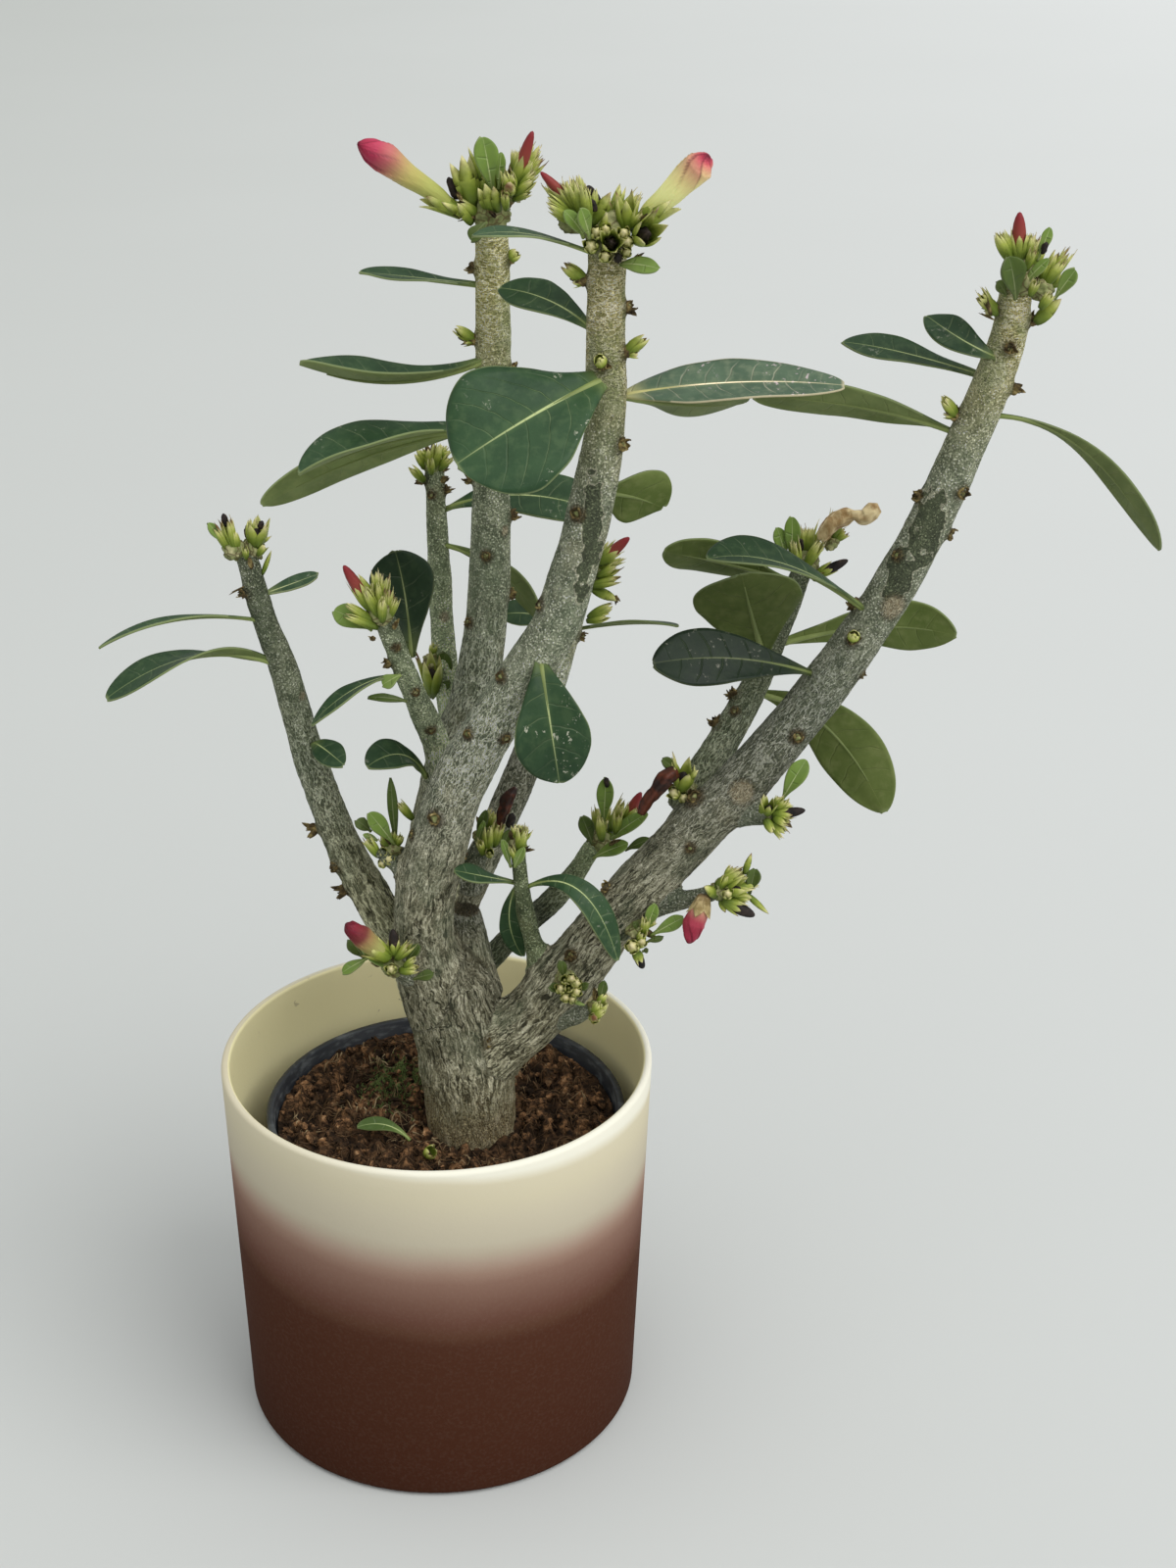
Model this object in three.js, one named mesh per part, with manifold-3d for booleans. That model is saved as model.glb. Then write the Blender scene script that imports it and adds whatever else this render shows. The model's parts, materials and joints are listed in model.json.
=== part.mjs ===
// A potted desert rose (adenium): a branching plant in a nursery pot of soil, inside a two-tone cachepot.
// Millimetres, +Z up. The origin is the centre of the cachepot's underside and the plant's front is -Y.
import * as THREE from 'three';
import { mergeVertices } from 'three/addons/utils/BufferGeometryUtils.js';
import Module from 'manifold-3d';

const wasm = await Module();
wasm.setup();

// Gap left between pieces that touch.
const GAP = 0.3;

// Cachepot: a slightly tapered cup.
const CACHEPOT_RIM_RADIUS = 70;
const CACHEPOT_BASE_RADIUS = 65.7;
const CACHEPOT_HEIGHT = 127.3;
const CACHEPOT_WALL = 2.8;
const CACHEPOT_FLOOR = 4;
const CACHEPOT_EDGE = 2.2;
const CACHEPOT_SIDES = 48;

// Nursery pot: a thin tapered pot with a band round its rim and holes in its floor.
const POT_RIM_RADIUS = 59;
const POT_BASE_RADIUS = 47;
const POT_HEIGHT = 103;
const POT_WALL = 1.3;
const POT_BAND_HEIGHT = 9;
const POT_BAND_STEP = 1.2;
const POT_CENTRE_X = 2.5;
const POT_SIDES = 32;
const DRAIN_HOLES = 6;
const DRAIN_RADIUS = 4;
const DRAIN_CIRCLE = 36;

// Soil: its level under the nursery pot's rim, and the height of its lumps.
const SOIL_DROP = 3.6;
const SOIL_LUMP = 1.5;
const SOIL_RINGS = 5;

// Wood: how the limbs are divided.
const STEP_PER_RADIUS = 2.4;
const LONGEST_STEP = 14;

// Foliage.
const BLADE_THICKNESS = 0.8;
const STALK_THICKNESS = 1.8;
const BUD_SIDES = 3;
const WIDE_LEAF = 10;

// Each limb's route: [x, y, z, radius] from its root inside the limb that it grew from to its end.
const LIMBS = {
  trunk: [
    [12, -4, 77, 13.5], [11, -4, 105, 14.5], [10, -4, 124, 15.5], [7, -3, 140, 14.5], [4, -3, 156, 13],
  ],
  main: [
    [7, -3, 140, 12.5], [0, -5, 157, 12], [-3, -8, 178, 9.5], [1, -12, 204, 9.5], [10, -17, 233, 8.5],
    [24, -22, 261, 7.5], [38, -26, 286, 7], [47, -27, 317, 6.5], [52, -25, 344, 5.8], [52, -22, 371, 5.5],
    [52, -20, 394, 5.5],
  ],
  right: [
    [10, -4, 127, 12.5], [28, -7, 142, 10], [43, -10, 163, 10], [61, -10, 189, 8.5], [85, -8, 217, 8.5],
    [100, -5, 233, 7.8], [125, 0, 266, 7.3], [145, 2, 302, 6.6], [157, 0, 335, 6.1], [165, -5, 364, 5.3],
    [166, -8, 380, 4.8],
  ],
  back: [
    [0, 4, 177, 7], [-1, 9, 197, 7.5], [2, 15, 215, 7.5], [7, 20, 230, 7], [14, 24, 253, 6.8],
    [17, 27, 278, 6.5], [18, 28, 310, 6], [19, 24, 353, 5.4], [19, 20, 391, 4.8],
  ],
  slim: [[6, 24, 229, 4.5], [3, 36, 242, 4], [1, 46, 261, 4], [0, 50, 283, 3.6], [-1, 52, 309, 3.2]],
  fork: [[4, 14, 217, 5.5], [1, 6, 235, 4.5], [-3, -2, 251, 4], [-7, -9, 266, 3.5], [-12, -14, 284, 3.2]],
  left: [
    [-6, 2, 157, 6.5], [-14, 5, 169, 6.5], [-23, 8, 185, 6], [-32, 10, 205, 5.6], [-40, 9, 234, 5],
    [-45, 5, 260, 4.4], [-49, 1, 276, 3.9], [-53, -4, 300, 3.2],
  ],
  rear: [
    [5, 8, 170, 5.5], [14, 20, 187, 5.5], [25, 32, 209, 5.5], [34, 41, 233, 5], [41, 45, 257, 4.5],
    [46, 42, 276, 4],
  ],
  stub: [[15, 0, 149, 6.5], [13, 1, 161, 5.5], [11, 2, 173, 5], [10, 2, 178, 4.5]],
  low: [[13, 8, 153, 4], [26, 20, 162, 4], [36, 26, 169, 4], [44, 29, 178, 3.6], [50, 30, 188, 3.2]],
  twig: [[34, -4, 160, 3.5], [30, -11, 182, 2.9], [28, -14, 197, 2.5], [27, -15, 209, 2.4]],
  upper: [
    [78, 2, 214, 6], [86, 10, 226, 5.8], [94, 18, 238, 5], [102, 27, 250, 4.4], [109, 34, 266, 3.9],
    [115, 37, 282, 3.4],
  ],
  shoot_right: [[90, -5, 220, 4], [97, -11, 220, 3.5], [103, -14, 221, 3]],
  shoot_low_right: [[68, -9, 187, 4], [78, -17, 193, 3], [87, -22, 198, 2.5]],
  shoot_base_right: [[38, -12, 148, 3.2], [45, -19, 152, 2.5], [50, -22, 157, 2]],
  shoot_base_left: [[-2, -9, 166, 4.5], [-8, -14, 165, 3.5], [-12, -17, 169, 2.5]],
  shoot_gap: [[-1, 1, 196, 3.8], [-6, -2, 199, 3], [-11, -4, 202, 2.4]],
  shoot_yellow: [[-3, -5, 194, 3], [-10, -10, 200, 2.2], [-16, -12, 206, 1.8]],
  shoot_rear: [[10, 12, 184, 4.5], [13, 7, 194, 3.4], [15, 4, 201, 2.8]],
};

// Short dry stalks and leaf scars: [limb, place along it 0..1, degrees round it from the front, height].
const SPURS = [
  ['main', 0.79, 55, 4], ['main', 0.87, -12, 4], ['main', 0.93, 80, 4], ['main', 0.96, -85, 7],
  ['main', 0.88, 70, 7], ['main', 0.75, 200, 3], ['back', 0.62, 85, 3], ['back', 0.72, 85, 3.5],
  ['back', 0.76, -85, 3.5], ['back', 0.86, 80, 4.5], ['back', 0.89, -70, 7], ['back', 0.96, -85, 4.5],
  ['back', 0.97, 75, 3.5], ['back', 0.8, 170, 3], ['right', 0.23, -35, 3], ['right', 0.3, -75, 3],
  ['right', 0.62, -28, 3.5], ['right', 0.64, -85, 4], ['right', 0.74, -80, 3.5],
  ['right', 0.76, 33, 3], ['right', 0.72, 80, 3], ['right', 0.82, -80, 7], ['right', 0.86, 80, 5.5],
  ['right', 0.91, 0, 3], ['right', 0.95, 75, 4], ['right', 0.97, -70, 7], ['right', 0.58, 190, 3],
  ['right', 0.8, 160, 3], ['left', 0.29, -80, 6], ['left', 0.35, -48, 3], ['left', 0.43, -80, 6],
  ['left', 0.93, -60, 3.5], ['fork', 0.8, -70, 3], ['slim', 0.93, 85, 3.5], ['slim', 0.96, -85, 4.5],
  ['upper', 0.35, -80, 4], ['upper', 0.48, -80, 4], ['upper', 0.6, 150, 3], ['rear', 0.8, 80, 3],
  ['trunk', 0.7, 42, 4], ['trunk', 0.62, 55, 3],
];

// Leaves. base, middle and tip are on the midrib, and the last one's width is the widest across.
// face: the way the upper side looks; fold: degrees that each half rises; twist: degrees from base to tip.
const LEAVES = {
  leaf_main_1: [
    {
      base: [53, -26, 360], middle: [33, -41, 355], tip: [13, -49, 343],
      width: 34, face: [-0.1, -0.8, 0.6], fold: 6,
    },
  ],
  leaf_main_2: [
    {
      base: [49, -22, 371], middle: [37, -12, 377], tip: [22, 0, 378],
      width: 12, face: [-0.1, -0.55, 0.83], fold: 8,
    },
  ],
  leaf_main_3: [
    {
      base: [49, -22, 393], middle: [31, -28, 399], tip: [16, -31, 399],
      width: 9, face: [0, -0.05, 1], fold: 8,
    },
  ],
  leaves_main_4: [
    {
      base: [56, -20, 353], middle: [88, -17, 356], tip: [119, -15, 355],
      width: 20, face: [0, -0.12, 1], fold: 8,
    },
    {
      base: [56, -19, 353], middle: [76, 0, 345], tip: [93, 14, 342],
      width: 19, face: [0.1, 0.7, 0.7], fold: 5,
    },
  ],
  leaf_main_5: [
    {
      base: [49, -21, 325], middle: [59, -17, 323], tip: [69, -12, 318],
      width: 21, face: [0, 0.92, 0.4], fold: 4,
    },
  ],
  leaf_main_6: [
    {
      base: [34, -29, 279], middle: [37, -40, 264], tip: [40, -40, 243],
      width: 22, face: [0.05, -0.9, 0.42], fold: 6,
    },
  ],
  leaf_back_1: [
    {
      base: [16, 21, 352], middle: [-11, 18, 346], tip: [-37, 14, 352],
      width: 22, face: [0, 0.36, 0.93], fold: 20,
    },
  ],
  leaf_back_2: [
    {
      base: [14, 25, 330], middle: [-12, 17, 328], tip: [-38, 9, 320],
      width: 24, face: [-0.1, -0.05, 1], fold: 26,
    },
  ],
  leaf_back_3: [
    {
      base: [16, 31, 328], middle: [-18, 31, 320], tip: [-52, 26, 305],
      width: 18, face: [-0.3, 0.72, 0.62], fold: 6,
    },
  ],
  leaf_back_4: [
    {
      base: [17, 21, 374], middle: [-2, 20, 376], tip: [-19, 18, 378],
      width: 9, face: [0, 0.25, 0.96], fold: 14,
    },
  ],
  leaf_back_5: [
    {
      base: [-2, 8, 222], middle: [-9, 1, 233], tip: [-19, -8, 233],
      width: 12, face: [0, -0.5, 0.86], fold: 8,
    },
  ],
  leaf_right_1: [
    {
      base: [155, 1, 337], middle: [127, 6, 343], tip: [95, 6, 346],
      width: 17, face: [0, 0.75, 0.66], fold: 8,
    },
  ],
  leaf_right_2: [
    {
      base: [161, -1, 354], middle: [140, 8, 358], tip: [121, 14, 360],
      width: 12, face: [-0.1, -0.3, 0.95], fold: 10,
    },
  ],
  leaf_right_3: [
    {
      base: [164, -8, 361], middle: [153, -8, 366], tip: [143, 1, 371],
      width: 10, face: [-0.1, -0.7, 0.7], fold: 10,
    },
  ],
  leaf_right_4: [
    {
      base: [160, -2, 343], middle: [188, -7, 336], tip: [214, -14, 306], width: 15, belly: 2.7,
      face: [0.45, 0.7, 0.5], fold: 8, twist: 40,
    },
  ],
  leaf_right_5: [
    {
      base: [130, -2, 284], middle: [105, -10, 300], tip: [82, -17, 304],
      width: 18, face: [0.1, -0.15, 0.98], fold: 16,
    },
  ],
  leaf_right_6: [
    {
      base: [115, -5, 264], middle: [91, -14, 272], tip: [67, -21, 273],
      width: 18, face: [-0.05, -0.75, 0.66], fold: 8,
    },
  ],
  leaf_slim_1: [
    {
      base: [2, 51, 296], middle: [27, 47, 302], tip: [54, 37, 299],
      width: 18, face: [0, -0.6, 0.8], fold: 8,
    },
  ],
  leaf_slim_2: [
    {
      base: [2, 49, 285], middle: [20, 46, 277], tip: [33, 38, 264],
      width: 11, face: [0.3, 0.8, 0.5], fold: 6,
    },
  ],
  leaf_fork_1: [
    {
      base: [-5, -5, 268], middle: [-7, 4, 283], tip: [-10, 7, 297],
      width: 20, face: [-0.1, -0.95, 0.25], fold: 8,
    },
  ],
  leaf_fork_2: [
    {
      base: [-8, -9, 264], middle: [-21, -16, 262], tip: [-34, -20, 252],
      width: 8, face: [-0.3, -0.15, 0.93], fold: 10,
    },
  ],
  leaf_left_1: [
    {
      base: [-37, 5, 235], middle: [-33, -3, 237], tip: [-26, -9, 234],
      width: 9, face: [0, -0.6, 0.8], fold: 4,
    },
  ],
  leaf_left_2: [
    {
      base: [-50, -1, 278], middle: [-73, -12, 282], tip: [-95, -20, 276],
      width: 7, face: [0, 0.2, 0.97], fold: 12,
    },
  ],
  leaf_left_3: [
    {
      base: [-45, 4, 261], middle: [-69, -6, 268], tip: [-95, -16, 258], width: 15,
      face: [0, 0.3, 0.95], fold: 8, twist: -80,
    },
  ],
  leaf_left_4: [
    {
      base: [-50, -2, 286], middle: [-42, 1, 288], tip: [-33, 3, 291],
      width: 6, face: [0.1, -0.3, 0.95], fold: 8,
    },
  ],
  leaf_upper_1: [
    {
      base: [112, 35, 279], middle: [90, 34, 285], tip: [71, 30, 290],
      width: 19, face: [0, 0.8, 0.6], fold: 6,
    },
  ],
  leaf_upper_2: [
    {
      base: [103, 25, 257], middle: [98, 17, 274], tip: [94, 10, 290],
      width: 34, face: [0, 0.9, 0.4], fold: 4,
    },
  ],
  leaf_upper_3: [
    {
      base: [108, 34, 258], middle: [138, 37, 263], tip: [164, 33, 262],
      width: 19, face: [0.1, 0.95, 0.3], fold: 6,
    },
  ],
  leaf_upper_4: [
    {
      base: [101, 27, 244], middle: [124, 26, 233], tip: [143, 18, 207],
      width: 22, face: [0.1, 0.95, 0.25], fold: 6,
    },
  ],
  leaves_twig_1: [
    {
      base: [27, -12, 196], middle: [17, -20, 202], tip: [8, -24, 206],
      width: 8, face: [0, -0.3, 0.95], fold: 10,
    },
    {
      base: [27, -11.5, 196], middle: [24, -8, 181], tip: [28, -5, 166],
      width: 7, face: [-0.2, -0.95, 0.1], fold: 8,
    },
  ],
  leaf_twig_2: [
    {
      base: [29, -14, 195], middle: [46, -25, 200], tip: [58, -27, 177],
      width: 9, face: [0.3, -0.75, 0.6], fold: 10,
    },
  ],
  leaves_rear_1: [
    {
      base: [41, 50, 256], middle: [60, 41, 262], tip: [76, 31, 265],
      width: 8, face: [0, 0.3, 0.95], fold: 10,
    },
    {
      base: [41, 50, 256], middle: [30, 50, 261], tip: [19, 46, 262],
      width: 9, face: [0, -0.7, 0.7], fold: 8,
    },
  ],
};

// Flower heads and shoot tips: a core, buds standing out of it and small leaves.
// reach: length of the longest bud; spread: degrees that the outermost bud leans; leaves: [tip, width].
const HEADS = {
  head_main: [
    {
      at: [52, -20, 398], axis: [0, 0, 1], core: 7, reach: 15, spread: 75, buds: 9,
      leaves: [[[72, -24, 389], 6]],
    },
    {
      at: [43, -22, 402], axis: [-0.5, 0, 1], core: 5, reach: 14, spread: 45, buds: 5,
      leaves: [[[38, -30, 404], 4]],
    },
  ],
  head_back: [
    {
      at: [19, 20, 395], axis: [0, 0, 1], core: 6.5, reach: 15, spread: 70, buds: 9,
      leaves: [[[16, 18, 417], 7], [[35, 24, 399], 4], [[10, 12, 391], 6]],
    },
    {
      at: [26, 20, 402], axis: [0.3, 0, 1], core: 4.5, reach: 16, spread: 30, buds: 4,
      leaves: [],
    },
  ],
  head_slim: [{ at: [-1, 52, 310], axis: [0, 0, 1], core: 4.2, reach: 8, spread: 70, buds: 6, leaves: [] }],
  head_fork: [
    {
      at: [-13, -15, 286], axis: [-0.3, -0.2, 1], core: 4.8, reach: 15, spread: 50, buds: 9,
      leaves: [[[-26, -19, 288], 8]],
    },
  ],
  head_left: [
    {
      at: [-56, -5, 301], axis: [-0.5, -0.2, 1], core: 3.8, reach: 11, spread: 35, buds: 4,
      leaves: [[[-70, -11, 309], 5]],
    },
    {
      at: [-51, -3, 301], axis: [0.3, 0.1, 1], core: 3.8, reach: 10, spread: 30, buds: 4,
      leaves: [],
    },
  ],
  head_rear: [
    {
      at: [48, 42, 278], axis: [0.6, -0.2, 1], core: 4.8, reach: 15, spread: 60, buds: 7,
      leaves: [],
    },
  ],
  head_low: [
    {
      at: [52, 31, 190], axis: [0.5, 0, 1], core: 4.6, reach: 14, spread: 50, buds: 6,
      leaves: [[[54, 28, 209], 7], [[46, 27, 198], 5], [[72, 28, 187], 6]],
    },
  ],
  head_twig: [
    {
      at: [27, -15, 210], axis: [0.1, 0, 1], core: 3.4, reach: 9, spread: 40, buds: 4,
      leaves: [[[22, -17, 217], 4]],
    },
  ],
  head_upper: [
    {
      at: [116, 38, 284], axis: [0.1, 0, 1], core: 4.8, reach: 14, spread: 55, buds: 6,
      leaves: [[[113, 38, 304], 6], [[109, 40, 298], 5]],
    },
    {
      at: [123, 36, 291], axis: [0.4, 0, 1], core: 2.6, reach: 12, spread: 16, buds: 3,
      leaves: [],
    },
  ],
  head_right: [
    {
      at: [167, -9, 384], axis: [0, 0, 1], core: 6, reach: 17, spread: 42, buds: 8,
      leaves: [[[160, -15, 394], 8], [[158, -14, 383], 4]],
    },
    {
      at: [173, -9, 381], axis: [0.7, 0, 1], core: 4, reach: 14, spread: 25, buds: 4,
      leaves: [[[184, -12, 393], 5]],
    },
  ],
  cluster_right: [
    {
      at: [105, -15, 221], axis: [1, -0.2, 0.1], core: 3.8, reach: 10, spread: 80, buds: 7,
      leaves: [[[112, -14, 236], 7]],
    },
  ],
  cluster_low_right: [
    {
      at: [90, -23, 200], axis: [1, -0.2, 0.2], core: 4.2, reach: 12, spread: 75, buds: 8,
      leaves: [[[99, -21, 212], 5], [[104, -24, 194], 3]],
    },
  ],
  cluster_elbow: [
    {
      at: [64, -18, 183], axis: [0.6, -0.8, 0], core: 3.8, reach: 10, spread: 75, buds: 6,
      leaves: [[[80, -22, 186], 6], [[68, -24, 197], 5]],
    },
  ],
  cluster_front: [
    {
      at: [42, -19.5, 166], axis: [0, -1, 0.2], core: 4, reach: 8, spread: 80, buds: 7,
      leaves: [[[41, -24, 179], 5]],
    },
  ],
  cluster_base_right: [
    {
      at: [51, -23, 158], axis: [0.4, -0.3, 1], core: 2.8, reach: 8, spread: 55, buds: 4,
      leaves: [[[54, -22, 171], 5]],
    },
  ],
  cluster_base_left: [
    {
      at: [-12, -19, 170], axis: [-0.3, -0.7, 0.6], core: 4, reach: 12, spread: 75, buds: 7,
      leaves: [[[-27, -19, 162], 6], [[-22, -14, 176], 8], [[5, -25, 165], 6]],
    },
  ],
  cluster_gap: [
    {
      at: [-12, -5, 203], axis: [-0.5, 0, 1], core: 3, reach: 8, spread: 60, buds: 3,
      leaves: [[[-24, -5, 214], 6], [[-15, -8, 218], 5], [[-12, -4, 227], 4]],
    },
  ],
  cluster_upper_foot: [
    {
      at: [79, 1, 222.5], axis: [-0.3, -0.3, 1], core: 3.6, reach: 8, spread: 65, buds: 4,
      leaves: [[[71, -4, 236], 5]],
    },
  ],
  cluster_slim_foot: [
    {
      at: [-2, 38, 249], axis: [-0.1, -0.5, 1], core: 3.6, reach: 9, spread: 40, buds: 4,
      leaves: [],
    },
  ],
  cluster_rear_mid: [
    {
      at: [16, 5, 203], axis: [0.1, -0.6, 1], core: 4, reach: 12, spread: 60, buds: 6,
      leaves: [[[12, -3, 213], 5], [[24, 2, 199], 5]],
    },
  ],
};

// Large closed flower buds: [x, y, z, radius] from the calyx to the tip.
const FLOWER_BUDS = {
  bud_back: [
    [12, 17, 399, 1.9], [7, 16, 402, 2.6], [-3, 13, 407, 3.6],
    [-12, 10, 413, 4.1], [-17, 8, 417, 2], [-18.5, 7.5, 418, 0.6],
  ],
  bud_main: [
    [60, -20, 400, 2], [64, -21, 404, 3], [70, -23, 411, 4],
    [76, -25, 417, 4], [79, -26, 420, 2], [80, -26.5, 421, 0.6],
  ],
  bud_base_left: [
    [-13, -21, 174, 2], [-16, -22, 177, 3.1], [-21, -25, 184, 3.6],
    [-25, -27, 189, 2], [-26, -27.5, 190, 0.6],
  ],
  bud_low_right: [
    [84, -25, 199, 1.6], [83, -26, 195, 3], [81, -27, 190, 3.5],
    [80, -28, 186, 2.2], [79.5, -28, 184, 0.6],
  ],
};

const BUD_AZIMUTH = THREE.MathUtils.degToRad(137.5);
const vector = ([x, y, z]) => new THREE.Vector3(x, y, z);

const COLOURS = {
  cachepot: { color: 0x6a4236, roughness: 0.62, metalness: 0 },
  nursery_pot: { color: 0x2e3238, roughness: 0.6, metalness: 0 },
  soil: { color: 0x3a2419, roughness: 0.95, metalness: 0 },
  bark: { color: 0x85877a, roughness: 0.85, metalness: 0 },
  leaf: { color: 0x2c4a2e, roughness: 0.5, metalness: 0 },
  head: { color: 0x9aab54, roughness: 0.6, metalness: 0 },
  flower_bud: { color: 0xcf6f7c, roughness: 0.45, metalness: 0 },
};

function material(kind) {
  return new THREE.MeshStandardMaterial(COLOURS[kind]);
}

// A closed solid from points and triangles, turned right side out.
function solidFrom(points, triangles) {
  let volume = 0;
  for (const [a, b, c] of triangles) {
    volume += points[a].dot(new THREE.Vector3().crossVectors(points[b], points[c]));
  }
  const order = volume > 0 ? triangles : triangles.map(([a, b, c]) => [a, c, b]);
  const vertProperties = new Float32Array(points.flatMap((point) => point.toArray()));
  const triVerts = new Uint32Array(order.flat());
  return new wasm.Manifold(new wasm.Mesh({ numProp: 3, vertProperties, triVerts }));
}

function solidFromGeometry(geometry) {
  const bare = geometry.index ? geometry.toNonIndexed() : geometry.clone();
  bare.deleteAttribute('normal');
  bare.deleteAttribute('uv');
  const merged = mergeVertices(bare, 1e-4);
  const vertProperties = new Float32Array(merged.attributes.position.array);
  const triVerts = new Uint32Array(merged.index.array);
  return new wasm.Manifold(new wasm.Mesh({ numProp: 3, vertProperties, triVerts }));
}

function joined(solids) {
  return solids.reduce((sum, solid) => sum.add(solid));
}

// The largest connected body of a solid.
function largest(solid) {
  const bodies = solid.decompose();
  return bodies.reduce((best, body) => (body.volume() > best.volume() ? body : best));
}

function meshOf(name, solid, kind) {
  const { vertProperties, triVerts } = largest(solid).getMesh();
  const geometry = new THREE.BufferGeometry();
  geometry.setAttribute('position', new THREE.BufferAttribute(vertProperties, 3));
  geometry.setIndex(new THREE.BufferAttribute(triVerts, 1));
  geometry.computeVertexNormals();
  const mesh = new THREE.Mesh(geometry, material(kind));
  mesh.name = name;
  return mesh;
}

// A closed body through rings of points, with a fan over each end.
function loft(rings) {
  const sides = rings[0].length;
  const points = rings.flat();
  const triangles = [];
  for (let ring = 0; ring < rings.length - 1; ring += 1) {
    for (let side = 0; side < sides; side += 1) {
      const next = (side + 1) % sides;
      const low = ring * sides;
      const high = low + sides;
      triangles.push([low + side, low + next, high + next], [low + side, high + next, high + side]);
    }
  }
  for (const [ring, flip] of [[0, true], [rings.length - 1, false]]) {
    const middle = points.length;
    const total = rings[ring].reduce((sum, point) => sum.add(point), new THREE.Vector3());
    points.push(total.divideScalar(sides));
    for (let side = 0; side < sides; side += 1) {
      const a = ring * sides + side;
      const b = ring * sides + ((side + 1) % sides);
      triangles.push(flip ? [middle, b, a] : [middle, a, b]);
    }
  }
  return solidFrom(points, triangles);
}

function ringAt(centre, across, up, radius, sides) {
  const ring = [];
  for (let side = 0; side < sides; side += 1) {
    const angle = (side / sides) * 2 * Math.PI;
    const point = centre.clone();
    point.addScaledVector(across, radius * Math.cos(angle));
    point.addScaledVector(up, radius * Math.sin(angle));
    ring.push(point);
  }
  return ring;
}

function routeCurve(route) {
  return new THREE.CatmullRomCurve3(route.map(vector), false, 'centripetal');
}

function radiusAt(route, place) {
  const spans = route.length - 1;
  const span = Math.min(spans - 1, Math.floor(place * spans));
  return THREE.MathUtils.lerp(route[span][3], route[span + 1][3], place * spans - span);
}

// A round body swept along a route, with a domed far end.
function sweptBody(route, sides, steps, grow) {
  const curve = routeCurve(route);
  const rings = [];
  let across = new THREE.Vector3(1, 0, 0);
  for (let step = 0; step <= steps; step += 1) {
    const place = step / steps;
    const tangent = curve.getTangent(place);
    across = across.addScaledVector(tangent, -across.dot(tangent)).normalize();
    const up = new THREE.Vector3().crossVectors(tangent, across);
    const radius = radiusAt(route, place) + grow;
    rings.push(ringAt(curve.getPoint(place), across, up, radius, sides));
    if (step === steps) {
      const dome = curve.getPoint(place).addScaledVector(tangent, radius * 0.4);
      rings.push(ringAt(dome, across, up, radius * 0.62, sides));
    }
    across = across.clone();
  }
  return loft(rings);
}

function limbBody(route, grow) {
  const thickest = Math.max(...route.map((stop) => stop[3]));
  const thinnest = Math.min(...route.map((stop) => stop[3]));
  const sides = thickest > 9 ? 10 : thickest > 5 ? 7 : 6;
  const step = Math.min(LONGEST_STEP, STEP_PER_RADIUS * (thickest + thinnest) / 2);
  const steps = Math.max(2, Math.round(routeCurve(route).getLength() / step));
  return sweptBody(route, sides, steps, grow);
}

// A short cone standing out of a limb.
function spurBody([limb, place, degrees, height], grow) {
  const route = LIMBS[limb];
  const curve = routeCurve(route);
  const tangent = curve.getTangent(place);
  const front = new THREE.Vector3(0, -1, 0);
  front.addScaledVector(tangent, -front.dot(tangent)).normalize();
  const side = new THREE.Vector3().crossVectors(tangent, front);
  const angle = THREE.MathUtils.degToRad(degrees);
  const out = front.multiplyScalar(Math.cos(angle)).addScaledVector(side, Math.sin(angle));
  const radius = radiusAt(route, place);
  const across = new THREE.Vector3().crossVectors(out, tangent);
  const foot = curve.getPoint(place).addScaledVector(out, radius * 0.6);
  const head = curve.getPoint(place).addScaledVector(out, radius + height + grow);
  const thick = Math.min(2, radius * 0.4);
  const footRing = ringAt(foot, across, tangent, thick + grow, 4);
  const headRing = ringAt(head, across, tangent, thick * 0.55 + grow, 4);
  return loft([footRing, headRing]);
}

// The whole woody plant, grown outwards by a clearance where it cuts its neighbours.
function wood(grow) {
  const limbs = Object.values(LIMBS).map((route) => limbBody(route, grow));
  const spurs = SPURS.map((spur) => spurBody(spur, grow));
  return joined([...limbs, ...spurs]);
}

// A leaf's half width along the midrib, as a share of its widest: a narrow stalk, widest past the middle.
function outline(place, belly) {
  const stalk = 0.09;
  return stalk + (1 - stalk) * Math.sin(Math.PI * place ** belly) ** 0.65;
}

// A thin waved blade along its midrib, its two faces divided alike.
function bladeBody(leaf, grow, stations) {
  const [base, middle, tip] = [leaf.base, leaf.middle, leaf.tip].map(vector);
  const control = middle.clone().multiplyScalar(2).addScaledVector(base, -0.5).addScaledVector(tip, -0.5);
  const midrib = new THREE.QuadraticBezierCurve3(base, control, tip);
  const fold = THREE.MathUtils.degToRad(leaf.fold ?? 0);
  const upper = [];
  const lower = [];
  for (let station = 0; station <= stations; station += 1) {
    const place = 1 - (1 - station / stations) ** 1.6;
    const tangent = midrib.getTangent(place);
    const face = vector(leaf.face);
    face.addScaledVector(tangent, -face.dot(tangent)).normalize();
    face.applyAxisAngle(tangent, THREE.MathUtils.degToRad((leaf.twist ?? 0) * (place - 0.5)));
    const side = new THREE.Vector3().crossVectors(tangent, face);
    const half = Math.max(0.8, leaf.width / 2 * outline(place, leaf.belly ?? 1.9)) + grow;
    const thick = (BLADE_THICKNESS + (STALK_THICKNESS - BLADE_THICKNESS) * (1 - place) ** 3) / 2 + grow;
    for (const share of [-1, 0, 1]) {
      const wave = Math.sin(place * 9 + share * 2) * share * share * leaf.width * 0.02;
      const rise = Math.abs(share) * half * Math.sin(fold) + wave;
      const point = midrib.getPoint(place);
      point.addScaledVector(side, share * half * Math.cos(fold)).addScaledVector(face, rise);
      upper.push(point.clone().addScaledVector(face, thick));
      lower.push(point.addScaledVector(face, -thick));
    }
  }
  return bladeSolid(upper, lower, stations);
}

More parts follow.
